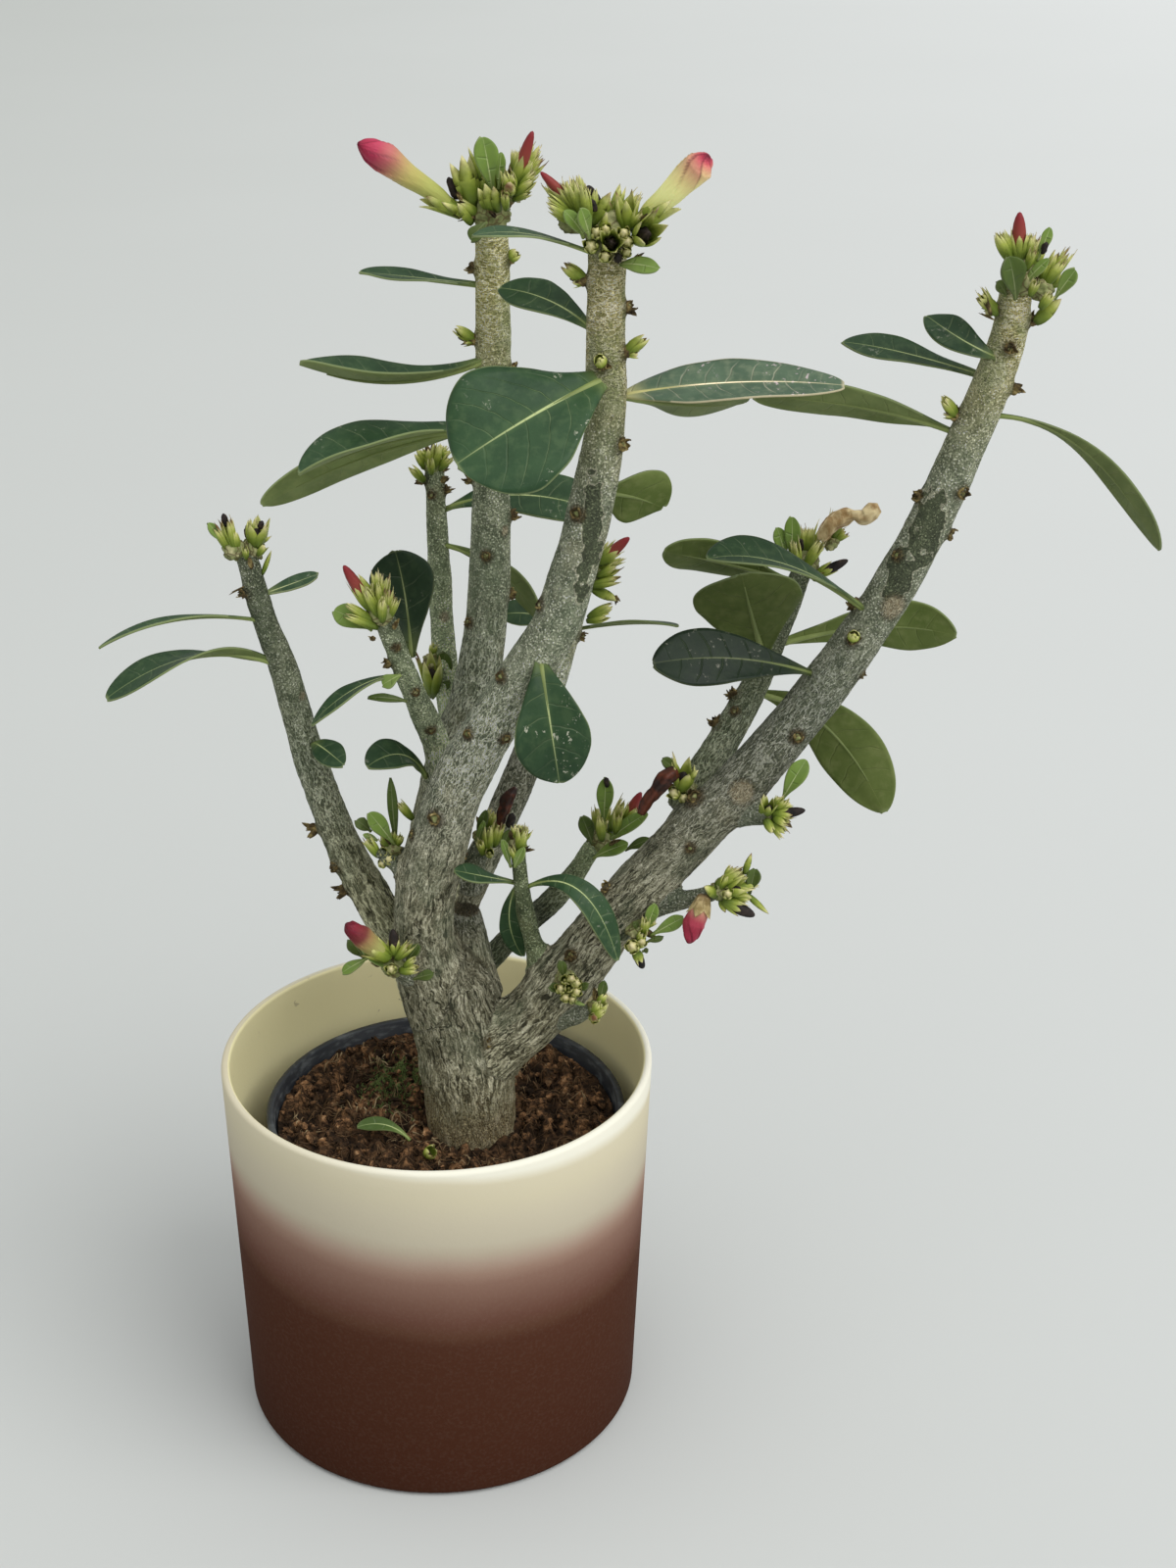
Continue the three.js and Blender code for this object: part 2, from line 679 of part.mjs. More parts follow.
// The two faces and the rim of a blade that has three points across each station.
function bladeSolid(upper, lower, stations) {
  const acrossCount = 3;
  const under = upper.length;
  const triangles = [];
  for (let station = 0; station < stations; station += 1) {
    for (let across = 0; across < acrossCount - 1; across += 1) {
      const a = station * acrossCount + across;
      const b = a + 1;
      const c = b + acrossCount;
      const d = a + acrossCount;
      triangles.push([a, b, c], [a, c, d]);
      triangles.push([under + a, under + c, under + b], [under + a, under + d, under + c]);
    }
  }
  const rim = [];
  for (let across = 0; across < acrossCount; across += 1) {
    rim.push(across);
  }
  for (let station = 1; station <= stations; station += 1) {
    rim.push(station * acrossCount + acrossCount - 1);
  }
  for (let across = acrossCount - 2; across >= 0; across -= 1) {
    rim.push(stations * acrossCount + across);
  }
  for (let station = stations - 1; station > 0; station -= 1) {
    rim.push(station * acrossCount);
  }
  rim.forEach((a, index) => {
    const b = rim[(index + 1) % rim.length];
    triangles.push([a, under + a, under + b], [a, under + b, b]);
  });
  return solidFrom([...upper, ...lower], triangles);
}

// A pointed bud or sepal standing out of a head.
function budBody(root, direction, length, thick, grow) {
  const across = new THREE.Vector3().crossVectors(direction, new THREE.Vector3(0.3, 0.2, 1)).normalize();
  const up = new THREE.Vector3().crossVectors(direction, across);
  const belly = root.clone().addScaledVector(direction, length * 0.5);
  const tip = root.clone().addScaledVector(direction, length + grow);
  const points = [root, ...ringAt(belly, across, up, thick + grow, BUD_SIDES), tip];
  const triangles = [];
  for (let side = 0; side < BUD_SIDES; side += 1) {
    const next = (side + 1) % BUD_SIDES;
    triangles.push([0, 1 + next, 1 + side], [BUD_SIDES + 1, 1 + side, 1 + next]);
  }
  return solidFrom(points, triangles);
}

// One part of a head: a core, buds spiralling round its axis, and its small leaves.
function headPart(part, grow) {
  const axis = vector(part.axis).normalize();
  const centre = vector(part.at);
  const coreGeometry = new THREE.SphereGeometry(part.core + grow, 5, 3);
  coreGeometry.translate(centre.x, centre.y, centre.z);
  const solids = [solidFromGeometry(coreGeometry)];
  const side = new THREE.Vector3().crossVectors(axis, new THREE.Vector3(0.1, 1, 0.2)).normalize();
  for (let bud = 0; bud < part.buds; bud += 1) {
    const share = (bud + 0.5) / part.buds;
    const lean = THREE.MathUtils.degToRad(part.spread * Math.sqrt(share));
    const direction = axis.clone().applyAxisAngle(side, lean).applyAxisAngle(axis, bud * BUD_AZIMUTH);
    const length = part.reach * (1 - 0.35 * share) * (bud % 3 === 1 ? 0.8 : 1);
    const root = centre.clone().addScaledVector(direction, part.core * 0.6);
    solids.push(budBody(root, direction, length, Math.min(2, part.reach * 0.17), grow));
  }
  for (const [tip, width] of part.leaves) {
    const end = vector(tip);
    const middle = centre.clone().lerp(end, 0.5).addScaledVector(axis, part.reach * 0.08);
    const face = axis.clone().add(new THREE.Vector3(0, -0.6, 0.4));
    const leaf = { base: part.at, middle: middle.toArray(), tip, width, face: face.toArray(), fold: 8 };
    solids.push(bladeBody(leaf, grow, 3));
  }
  return joined(solids);
}

function headBody(parts, grow) {
  return joined(parts.map((part) => headPart(part, grow)));
}

function flowerBudBody(route, grow) {
  return sweptBody(route, 7, 6, grow);
}

// The cachepot's cup, with a small rounded edge at its foot and lip.
function cachepot() {
  const innerRim = CACHEPOT_RIM_RADIUS - CACHEPOT_WALL;
  const innerBase = CACHEPOT_BASE_RADIUS - CACHEPOT_WALL;
  const lip = CACHEPOT_WALL / 2;
  const profile = [new THREE.Vector2(0, 0), new THREE.Vector2(CACHEPOT_BASE_RADIUS - CACHEPOT_EDGE, 0)];
  profile.push(new THREE.Vector2(CACHEPOT_BASE_RADIUS - CACHEPOT_EDGE * 0.3, CACHEPOT_EDGE * 0.3));
  profile.push(new THREE.Vector2(CACHEPOT_BASE_RADIUS, CACHEPOT_EDGE));
  for (const turn of [0, 0.33, 0.67, 1]) {
    const angle = turn * Math.PI;
    const radius = CACHEPOT_RIM_RADIUS - lip + lip * Math.cos(angle);
    profile.push(new THREE.Vector2(radius, CACHEPOT_HEIGHT - lip + lip * Math.sin(angle)));
  }
  profile.push(new THREE.Vector2(innerBase, CACHEPOT_FLOOR + CACHEPOT_EDGE));
  profile.push(new THREE.Vector2(innerBase - CACHEPOT_EDGE, CACHEPOT_FLOOR));
  profile.push(new THREE.Vector2(0, CACHEPOT_FLOOR));
  return solidOfRevolution(profile, CACHEPOT_SIDES);
}

// A body turned about the Z axis from a profile of radius and height.
function solidOfRevolution(profile, sides) {
  const geometry = new THREE.LatheGeometry(profile, sides);
  geometry.rotateX(Math.PI / 2);
  const bare = mergeVertices(geometry.deleteAttribute('normal').deleteAttribute('uv'), 1e-4);
  const points = [];
  for (let index = 0; index < bare.attributes.position.count; index += 1) {
    points.push(new THREE.Vector3().fromBufferAttribute(bare.attributes.position, index));
  }
  const triangles = [];
  for (let index = 0; index < bare.index.count; index += 3) {
    const corners = [0, 1, 2].map((corner) => bare.index.getX(index + corner));
    if (new Set(corners).size === 3) {
      triangles.push(corners);
    }
  }
  return solidFrom(points, triangles);
}

const POT_FOOT = CACHEPOT_FLOOR + GAP;
const POT_TOP = POT_FOOT + POT_HEIGHT;

function potInnerRadius(height) {
  const share = (height - POT_FOOT) / POT_HEIGHT;
  return THREE.MathUtils.lerp(POT_BASE_RADIUS, POT_RIM_RADIUS, share) - POT_BAND_STEP - POT_WALL;
}

function nurseryPot() {
  const bandFoot = POT_TOP - POT_BAND_HEIGHT;
  const outerAt = (height) => potInnerRadius(height) + POT_WALL;
  const profile = [[0, POT_FOOT], [outerAt(POT_FOOT), POT_FOOT], [outerAt(bandFoot), bandFoot]];
  profile.push([outerAt(bandFoot) + POT_BAND_STEP, bandFoot + POT_BAND_STEP], [POT_RIM_RADIUS, POT_TOP]);
  const innerFoot = POT_FOOT + POT_WALL;
  profile.push([potInnerRadius(POT_TOP), POT_TOP], [potInnerRadius(innerFoot), innerFoot], [0, innerFoot]);
  const outline2d = profile.map(([radius, height]) => new THREE.Vector2(radius, height));
  let pot = solidOfRevolution(outline2d, POT_SIDES);
  for (let hole = 0; hole < DRAIN_HOLES; hole += 1) {
    const angle = (hole / DRAIN_HOLES) * 2 * Math.PI;
    const centre = new THREE.Vector3(DRAIN_CIRCLE * Math.cos(angle), DRAIN_CIRCLE * Math.sin(angle), 0);
    const across = new THREE.Vector3(1, 0, 0);
    const up = new THREE.Vector3(0, 1, 0);
    const cutter = [POT_FOOT - 1, innerFoot + 1].map((height) => {
      return ringAt(centre.clone().setZ(height), across, up, DRAIN_RADIUS, 8);
    });
    pot = pot.subtract(loft(cutter));
  }
  return pot.translate([POT_CENTRE_X, 0, 0]);
}

// Height of the soil's lumps at a place on its top.
function soilLump(x, y) {
  const broad = Math.sin(x * 0.31 + y * 0.17) * Math.cos(y * 0.27 - x * 0.12);
  const fine = Math.sin(x * 0.83 - y * 0.64);
  return SOIL_LUMP * (broad + 0.4 * fine);
}

function soil(grownWood) {
  const floor = POT_FOOT + POT_WALL + GAP;
  const level = POT_TOP - SOIL_DROP;
  const rings = [];
  const bottom = ringOfSoil(potInnerRadius(floor) - GAP, () => floor);
  rings.push(bottom);
  for (let ring = 0; ring < SOIL_RINGS; ring += 1) {
    const share = 1 - ring / SOIL_RINGS;
    const fade = ring === 0 ? 0.3 : 1;
    const edge = potInnerRadius(level - SOIL_LUMP) - GAP;
    rings.push(ringOfSoil(edge * share, (x, y) => level + fade * soilLump(x, y)));
  }
  return loft(rings).translate([POT_CENTRE_X, 0, 0]).subtract(grownWood);
}

function ringOfSoil(radius, heightAt) {
  const ring = [];
  for (let side = 0; side < POT_SIDES; side += 1) {
    const angle = (side / POT_SIDES) * 2 * Math.PI;
    const x = radius * Math.cos(angle);
    const y = radius * Math.sin(angle);
    ring.push(new THREE.Vector3(x, y, heightAt(x, y)));
  }
  return ring;
}

const group = new THREE.Group();
const grownWood = wood(GAP);
group.add(meshOf('cachepot', cachepot(), 'cachepot'));
group.add(meshOf('nursery_pot', nurseryPot(), 'nursery_pot'));
group.add(meshOf('soil', soil(grownWood), 'soil'));
group.add(meshOf('stem', wood(0), 'bark'));

const grownBuds = [];
for (const [name, route] of Object.entries(FLOWER_BUDS)) {
  group.add(meshOf(name, flowerBudBody(route, 0).subtract(grownWood), 'flower_bud'));
  grownBuds.push(flowerBudBody(route, GAP));
}

const clearOfHeads = [];
for (const [name, parts] of Object.entries(HEADS)) {
  const head = headBody(parts, 0).subtract(grownWood).subtract(joined(grownBuds));
  group.add(meshOf(name, head, 'head'));
  clearOfHeads.push(headBody(parts, GAP));
}

const grownHeads = joined(clearOfHeads);
for (const [name, blades] of Object.entries(LEAVES)) {
  const leaf = joined(blades.map((blade) => bladeBody(blade, 0, blade.width > WIDE_LEAF ? 7 : 5)));
  group.add(meshOf(name, leaf.subtract(grownWood).subtract(grownHeads), 'leaf'));
}

export default group;
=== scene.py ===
import json
import math
import random

import bmesh
import bpy
import numpy as np
from mathutils import Matrix, Vector, noise

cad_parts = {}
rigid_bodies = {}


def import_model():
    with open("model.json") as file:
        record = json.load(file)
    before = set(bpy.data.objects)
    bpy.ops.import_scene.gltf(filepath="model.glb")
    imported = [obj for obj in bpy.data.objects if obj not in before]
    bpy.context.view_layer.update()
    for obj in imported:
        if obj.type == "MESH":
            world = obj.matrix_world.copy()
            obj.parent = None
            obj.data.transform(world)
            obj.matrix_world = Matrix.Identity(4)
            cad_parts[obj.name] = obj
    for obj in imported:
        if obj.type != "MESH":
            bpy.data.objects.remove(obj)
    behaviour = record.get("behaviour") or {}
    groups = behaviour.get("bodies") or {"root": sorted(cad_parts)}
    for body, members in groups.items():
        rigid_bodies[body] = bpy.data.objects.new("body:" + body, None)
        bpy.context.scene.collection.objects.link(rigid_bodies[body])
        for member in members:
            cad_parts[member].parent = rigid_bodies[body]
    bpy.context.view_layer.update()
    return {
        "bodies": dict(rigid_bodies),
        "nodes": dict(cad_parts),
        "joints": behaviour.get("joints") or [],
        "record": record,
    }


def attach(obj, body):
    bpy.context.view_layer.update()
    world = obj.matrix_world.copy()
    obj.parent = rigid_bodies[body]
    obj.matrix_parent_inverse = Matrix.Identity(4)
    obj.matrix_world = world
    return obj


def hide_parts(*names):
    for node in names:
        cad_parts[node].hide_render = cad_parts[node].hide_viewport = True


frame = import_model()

MM = 0.001
FRONT = Vector((0, -1, 0))
SPIRAL = math.radians(137.5)

# Cachepot: a slightly tapered cup.
CACHEPOT_RIM_RADIUS = 70
CACHEPOT_BASE_RADIUS = 65.7
CACHEPOT_HEIGHT = 127.3
CACHEPOT_WALL = 2.8
CACHEPOT_FLOOR = 4
CACHEPOT_EDGE = 2.2

# Nursery pot: a thin tapered pot with a band round its rim.
POT_FOOT = 4.3
POT_RIM_RADIUS = 59
POT_BASE_RADIUS = 47
POT_HEIGHT = 103
POT_WALL = 1.3
POT_BAND_HEIGHT = 9
POT_BAND_STEP = 1.2
POT_CENTRE_X = 2.5
POT_TOP = POT_FOOT + POT_HEIGHT

# Soil: its surface and floor, how far each reaches from the pot's axis, and what lies on it. Nothing lies
# closer to the trunk's middle than the clearance.
SOIL_LEVEL = POT_TOP - 3.6
SOIL_RADIUS = 56
SOIL_FLOOR = POT_FOOT + 2
SOIL_FLOOR_RADIUS = 44
SOIL_WALL_FOOT_RADIUS = 44.6
SOIL_WALL_HEIGHT = 96
TRUNK_AT_SOIL = (11, -4)
TRUNK_CLEARANCE = 15.5
CRUMB_COUNT = 2600
FIBRE_COUNT = 900
THICK_FIBRE_COUNT = 23
MOSS_COUNT = 2600
MOSS_PATCH = (-16, 19)
MOSS_SPREAD = (5, 7)

# Each kind of random detail draws from its own seed; the heads count on from theirs.
CRUMB_SEED = 4
FIBRE_SEED = 9
MOSS_SEED = 12
BARK_SEED = 7
SPUR_SEED = 31
HEAD_SEED = 100

# Each limb's route: (x, y, z, radius) from its root inside the limb that it grew from to its end.
LIMBS = {
    "trunk": [
        (12, -4, 77, 13.5), (11, -4, 105, 14.5), (10, -4, 124, 15.5), (7, -3, 140, 14.5), (4, -3, 156, 13),
    ],
    "main": [
        (7, -3, 140, 12.5), (0, -5, 157, 12), (-3, -8, 178, 9.5), (1, -12, 204, 9.5), (10, -17, 233, 8.5),
        (24, -22, 261, 7.5), (38, -26, 286, 7), (47, -27, 317, 6.5), (52, -25, 344, 5.8),
        (52, -22, 371, 5.5), (52, -20, 394, 5.5),
    ],
    "right": [
        (10, -4, 127, 12.5), (28, -7, 142, 10), (43, -10, 163, 10), (61, -10, 189, 8.5), (85, -8, 217, 8.5),
        (100, -5, 233, 7.8), (125, 0, 266, 7.3), (145, 2, 302, 6.6), (157, 0, 335, 6.1), (165, -5, 364, 5.3),
        (166, -8, 380, 4.8),
    ],
    "back": [
        (0, 4, 177, 7), (-1, 9, 197, 7.5), (2, 15, 215, 7.5), (7, 20, 230, 7), (14, 24, 253, 6.8),
        (17, 27, 278, 6.5), (18, 28, 310, 6), (19, 24, 353, 5.4), (19, 20, 391, 4.8),
    ],
    "slim": [(6, 24, 229, 4.5), (3, 36, 242, 4), (1, 46, 261, 4), (0, 50, 283, 3.6), (-1, 52, 309, 3.2)],
    "fork": [
        (4, 14, 217, 5.5), (1, 6, 235, 4.5), (-3, -2, 251, 4), (-7, -9, 266, 3.5), (-12, -14, 284, 3.2),
    ],
    "left": [
        (-6, 2, 157, 6.5), (-14, 5, 169, 6.5), (-23, 8, 185, 6), (-32, 10, 205, 5.6), (-40, 9, 234, 5),
        (-45, 5, 260, 4.4), (-49, 1, 276, 3.9), (-53, -4, 300, 3.2),
    ],
    "rear": [
        (5, 8, 170, 5.5), (14, 20, 187, 5.5), (25, 32, 209, 5.5), (34, 41, 233, 5), (41, 45, 257, 4.5),
        (46, 42, 276, 4),
    ],
    "stub": [(15, 0, 149, 6.5), (13, 1, 161, 5.5), (11, 2, 173, 5), (10, 2, 178, 4.5)],
    "low": [(13, 8, 153, 4), (26, 20, 162, 4), (36, 26, 169, 4), (44, 29, 178, 3.6), (50, 30, 188, 3.2)],
    "twig": [(34, -4, 160, 3.5), (30, -11, 182, 2.9), (28, -14, 197, 2.5), (27, -15, 209, 2.4)],
    "upper": [
        (78, 2, 214, 6), (86, 10, 226, 5.8), (94, 18, 238, 5), (102, 27, 250, 4.4), (109, 34, 266, 3.9),
        (115, 37, 282, 3.4),
    ],
    "shoot_right": [(90, -5, 220, 4), (97, -11, 220, 3.5), (103, -14, 221, 3)],
    "shoot_low_right": [(68, -9, 187, 4), (78, -17, 193, 3), (87, -22, 198, 2.5)],
    "shoot_base_right": [(38, -12, 148, 3.2), (45, -19, 152, 2.5), (50, -22, 157, 2)],
    "shoot_base_left": [(-2, -9, 166, 4.5), (-8, -14, 165, 3.5), (-12, -17, 169, 2.5)],
    "shoot_gap": [(-1, 1, 196, 3.8), (-6, -2, 199, 3), (-11, -4, 202, 2.4)],
    "shoot_yellow": [(-3, -5, 194, 3), (-10, -10, 200, 2.2), (-16, -12, 206, 1.8)],
    "shoot_rear": [(10, 12, 184, 4.5), (13, 7, 194, 3.4), (15, 4, 201, 2.8)],
}

# Dry stalks and small buds: limb, place along it 0..1, degrees round it from the front, height, kind.
SPURS = [
    ("main", 0.79, 55, 4, "dry"), ("main", 0.87, -12, 4, "bud"), ("main", 0.93, 80, 4, "dry"),
    ("main", 0.96, -85, 7, "bud"), ("main", 0.88, 70, 7, "bud"), ("main", 0.75, 200, 3, "dry"),
    ("back", 0.62, 85, 3, "dry"), ("back", 0.72, 85, 3.5, "dry"), ("back", 0.76, -85, 3.5, "dry"),
    ("back", 0.86, 80, 4.5, "dry"), ("back", 0.89, -70, 7, "bud"), ("back", 0.96, -85, 4.5, "dry"),
    ("back", 0.97, 75, 3.5, "bud"), ("back", 0.8, 170, 3, "dry"), ("right", 0.23, -35, 3, "dry"),
    ("right", 0.3, -75, 3, "dry"), ("right", 0.62, -28, 3.5, "bud"), ("right", 0.64, -85, 4, "dry"),
    ("right", 0.74, -80, 3.5, "dry"), ("right", 0.76, 33, 3, "dry"), ("right", 0.72, 80, 3, "dry"),
    ("right", 0.82, -80, 7, "bud"), ("right", 0.86, 80, 5.5, "dry"), ("right", 0.91, 0, 3, "dry"),
    ("right", 0.95, 75, 4, "dry"), ("right", 0.97, -70, 7, "bud"), ("right", 0.58, 190, 3, "dry"),
    ("right", 0.8, 160, 3, "dry"), ("left", 0.29, -80, 6, "dry"), ("left", 0.35, -48, 3, "dry"),
    ("left", 0.43, -80, 6, "dry"), ("left", 0.93, -60, 3.5, "dry"), ("fork", 0.8, -70, 3, "dry"),
    ("slim", 0.93, 85, 3.5, "dry"), ("slim", 0.96, -85, 4.5, "dry"), ("upper", 0.35, -80, 4, "dry"),
    ("upper", 0.48, -80, 4, "dry"), ("upper", 0.6, 150, 3, "dry"), ("rear", 0.8, 80, 3, "dry"),
    ("trunk", 0.7, 42, 4, "dry"), ("trunk", 0.62, 55, 3, "bud"),
]

# Flat leaf scars on the limbs: limb, place, degrees, radius, kind.
LEAF_SCARS = [
    ("main", 0.715, -35, 2.2, "ring"), ("main", 0.62, -70, 2, "ring"), ("main", 0.53, -55, 2, "ring"),
    ("main", 0.46, -45, 1.8, "ring"), ("main", 0.475, 35, 2, "ring"), ("main", 0.365, -25, 2.5, "ring"),
    ("main", 0.33, -70, 1.6, "ring"), ("back", 0.675, -10, 1.8, "ring"), ("back", 0.575, -55, 1.8, "ring"),
    ("slim", 0.925, -20, 1.5, "ring"), ("fork", 0.88, 15, 1.4, "ring"), ("fork", 0.64, 20, 1.5, "ring"),
    ("fork", 0.395, 15, 1.6, "ring"), ("right", 0.69, -50, 1.8, "ring"), ("right", 0.375, 0, 1.7, "ring"),
    ("right", 0.54, 8, 2.2, "ring"), ("right", 0.41, -75, 3, "ring"), ("right", 0.6, 60, 1.5, "ring"),
    ("upper", 0.42, -35, 1.6, "ring"), ("main", 0.56, 140, 2, "ring"), ("right", 0.5, 170, 2, "ring"),
    ("back", 0.5, 160, 2, "ring"), ("left", 0.6, 150, 1.6, "ring"), ("main", 0.3, 120, 2.2, "ring"),
    ("back", 0.705, 50, 1.5, "pale"), ("slim", 0.505, 20, 1.5, "pale"), ("right", 0.655, 15, 3.4, "pale"),
    ("right", 0.465, -5, 3.4, "pale"), ("left", 0.66, 60, 1.3, "pale"),
]

# How pale the bark of each limb is, at even places from its root to its end, and how green. The paleness is
# partly the bark's own colour and partly painted shade, where other limbs and leaves shade a limb, and painted
# light, where a limb is lit.
LIMB_TONES_LIGHT_AND_SHADE = {
    "trunk": (1.2, 1.47, 1.4, 1.1, 0.87), "main": (0.9, 1.3, 1.75, 1.6, 1.6),
    "right": (1.55, 1.02, 0.9, 1.6, 2.05), "back": (1.8, 1.02, 1.6, 1.8, 2.05),
    "slim": (2.4, 2.6, 2.0, 1.7, 1.5), "fork": (0.7, 2.1, 1.65, 2.0, 1.3),
    "left": (1.75, 1.25, 1.3, 1.15, 0.95), "rear": (1.1, 1.05, 0.85, 2.4, 2.9),
    "stub": (0.85, 1.25, 1.2, 0.9, 0.8), "low": (0.7, 0.47, 0.28, 1.1, 1.8),
    "twig": (1.25, 1.25, 0.95, 1.05, 1.2), "upper": (1.15, 1.25, 0.97, 0.75, 1.02),
}
SHOOT_TONE = (1.1, 1.1, 1.1, 1.1, 1.1)
LIMB_GREEN = {"twig": 1, "low": 0.9, "upper": 0.5, "slim": 0.5, "fork": 0.5, "left": 0.3, "back": 0.2}

# Leaves: base, middle and tip of the midrib, width, the way that the upper side looks, degrees that each half
# rises; then, where it isn't the usual, twist in degrees and belly (higher: widest nearer to the tip).
LEAVES = {
    "leaf_main_1": [((53, -26, 360), (33.5, -41, 353.5), (12, -49, 341.5), 39, (-0.1, -0.8, 0.6), 6)],
    "leaf_main_2": [((49, -22, 371), (37, -12, 377), (22, 0, 378), 12, (-0.1, -0.55, 0.83), 8)],
    "leaf_main_3": [((49, -22, 393), (31, -28, 399), (16, -31, 399), 9, (0, -0.05, 1), 8)],
    "leaves_main_4": [
        ((56, -20, 353), (88, -17, 356), (119, -15, 355), 19, (0, -0.35, 0.94), 8, 0, 1.0),
        ((56, -19, 353), (76, 0, 345), (93, 14, 342), 22, (0.1, 0.7, 0.7), 5),
    ],
    "leaf_main_5": [((49, -21, 325), (59, -17, 323), (69, -12, 318), 21, (0, 0.92, 0.4), 4)],
    "leaf_main_6": [((34, -29, 279), (37, -40, 264), (40, -40, 243), 22, (0.05, -0.9, 0.42), 6)],
    "leaf_back_1": [((16, 21, 352), (-11, 18, 346), (-37, 14, 352), 22, (0, 0.09, 0.99), 26)],
    "leaf_back_2": [((14, 25, 330), (-12, 17, 328), (-38, 9, 320), 24, (-0.1, -0.05, 1), 26)],
    "leaf_back_3": [((16, 31, 328), (-18, 31, 320), (-52, 26, 305), 18, (-0.3, 0.72, 0.62), 6)],
    "leaf_back_4": [((17, 21, 374), (-2, 20, 376), (-19, 18, 378), 10, (0, -0.1, 0.99), 12)],
    "leaf_back_5": [((-2, 8, 222), (-9, 1, 233), (-19, -8, 233), 12, (0, -0.5, 0.86), 8)],
    "leaf_right_1": [((155, 1, 337), (127, 6, 343), (95, 6, 346), 17, (0, 0.75, 0.66), 8)],
    "leaf_right_2": [((161, -1, 354), (140, 8, 358), (121, 14, 360), 12, (-0.1, -0.3, 0.95), 10)],
    "leaf_right_3": [((164, -8, 361), (153, -8, 366), (143, 1, 371), 10, (-0.1, -0.7, 0.7), 10)],
    "leaf_right_4": [((160, -2, 343), (188, -7, 336), (213, -14, 307), 11.5, (0.45, 0.7, 0.5), 8, 40, 3.6)],
    "leaf_right_5": [((130, -2, 284), (105, -10, 300), (82, -17, 304), 18, (0.1, -0.15, 0.98), 16)],
    "leaf_right_6": [((115, -5, 264), (91, -14, 272), (67, -21, 273), 18, (-0.05, -0.75, 0.66), 8)],
    "leaf_slim_1": [((2, 51, 296), (27, 47, 302), (54, 37, 299), 18, (0, -0.6, 0.8), 8)],
    "leaf_slim_2": [((2, 49, 285), (20, 46, 277), (33, 38, 264), 11, (0.3, 0.8, 0.5), 6)],
    "leaf_fork_1": [((-5, -5, 268), (-7, 4, 283), (-10, 7, 297), 20, (-0.1, -0.95, 0.25), 8)],
    "leaf_fork_2": [((-8, -9, 264), (-21, -16, 262), (-34, -20, 252), 8, (-0.3, -0.15, 0.93), 10)],
    "leaf_left_1": [((-37, 5, 235), (-33, -3, 237), (-26, -9, 234), 9, (0, -0.6, 0.8), 4)],
    "leaf_left_2": [((-50, -1, 278), (-73, -12, 282), (-95, -20, 276), 7, (0, 0.2, 0.97), 12)],
    "leaf_left_3": [((-45, 4, 261), (-69, -6, 268), (-95, -16, 258), 15, (0, 0.3, 0.95), 8, -80)],
    "leaf_left_4": [((-50, -2, 286), (-42, 1, 288), (-33, 3, 291), 6, (0.1, -0.3, 0.95), 8)],
    "leaf_upper_1": [((112, 35, 279), (90, 34, 285), (71, 30, 290), 19, (0, 0.8, 0.6), 6)],
    "leaf_upper_2": [((103, 25, 257), (98, 17, 274), (94, 10, 290), 34, (0, 0.9, 0.4), 4)],
    "leaf_upper_3": [((108, 34, 258), (138, 37, 263), (164, 33, 262), 19, (0.1, 0.95, 0.3), 6)],
    "leaf_upper_4": [((101, 27, 244), (124, 26, 233), (143, 18, 207), 22, (0.1, 0.95, 0.25), 6)],
    "leaves_twig_1": [
        ((27, -12, 196), (17, -20, 202), (8, -24, 206), 8, (0, -0.3, 0.95), 10),
        ((27, -11.5, 196), (24, -8, 181), (28, -5, 166), 7, (-0.2, -0.95, 0.1), 8),
    ],
    "leaf_twig_2": [((29, -14, 195), (46, -25, 200), (58, -27, 177), 9, (0.3, -0.75, 0.6), 10)],
    "leaves_rear_1": [
        ((41, 50, 256), (60, 41, 262), (76, 31, 265), 8, (0, 0.3, 0.95), 10),
        ((41, 50, 256), (30, 50, 261), (19, 46, 262), 9, (0, -0.7, 0.7), 8),
    ],
}
# How much darker or paler than the usual a leaf is: partly its own colour, and partly painted shade on the
# darker leaves and painted light on the paler ones, for how each is lit.
LEAF_TONES_LIGHT_AND_SHADE = {
    "leaf_right_6": 0.26, "leaf_back_5": 0.85, "leaf_fork_1": 0.42, "leaf_main_6": 0.78,
    "leaf_upper_2": 0.72, "leaf_right_4": 0.85, "leaf_upper_4": 0.9, "leaf_right_5": 0.8,
    "leaf_right_2": 0.78, "leaf_right_3": 0.8, "leaf_back_2": 1.2, "leaf_back_3": 1.3,
}
# Leaves whose first blade is painted paler and bluer grey: painted sheen, where the blade catches the sky at a
# grazing angle.
LEAF_PAINTED_SHEEN = {
    "leaves_main_4": (2.8, 2.0, 3.0), "leaf_main_3": (1.25, 1.2, 1.3), "leaf_left_4": (1.3, 1.2, 1.4),
}
LEAF_BELLY = 1.9
LEAF_STALK = 0.09
LEAF_THICKNESS = 0.6
WIDE_LEAF = 14
RIB_STEPS = 16
RIB_REACH = 0.85

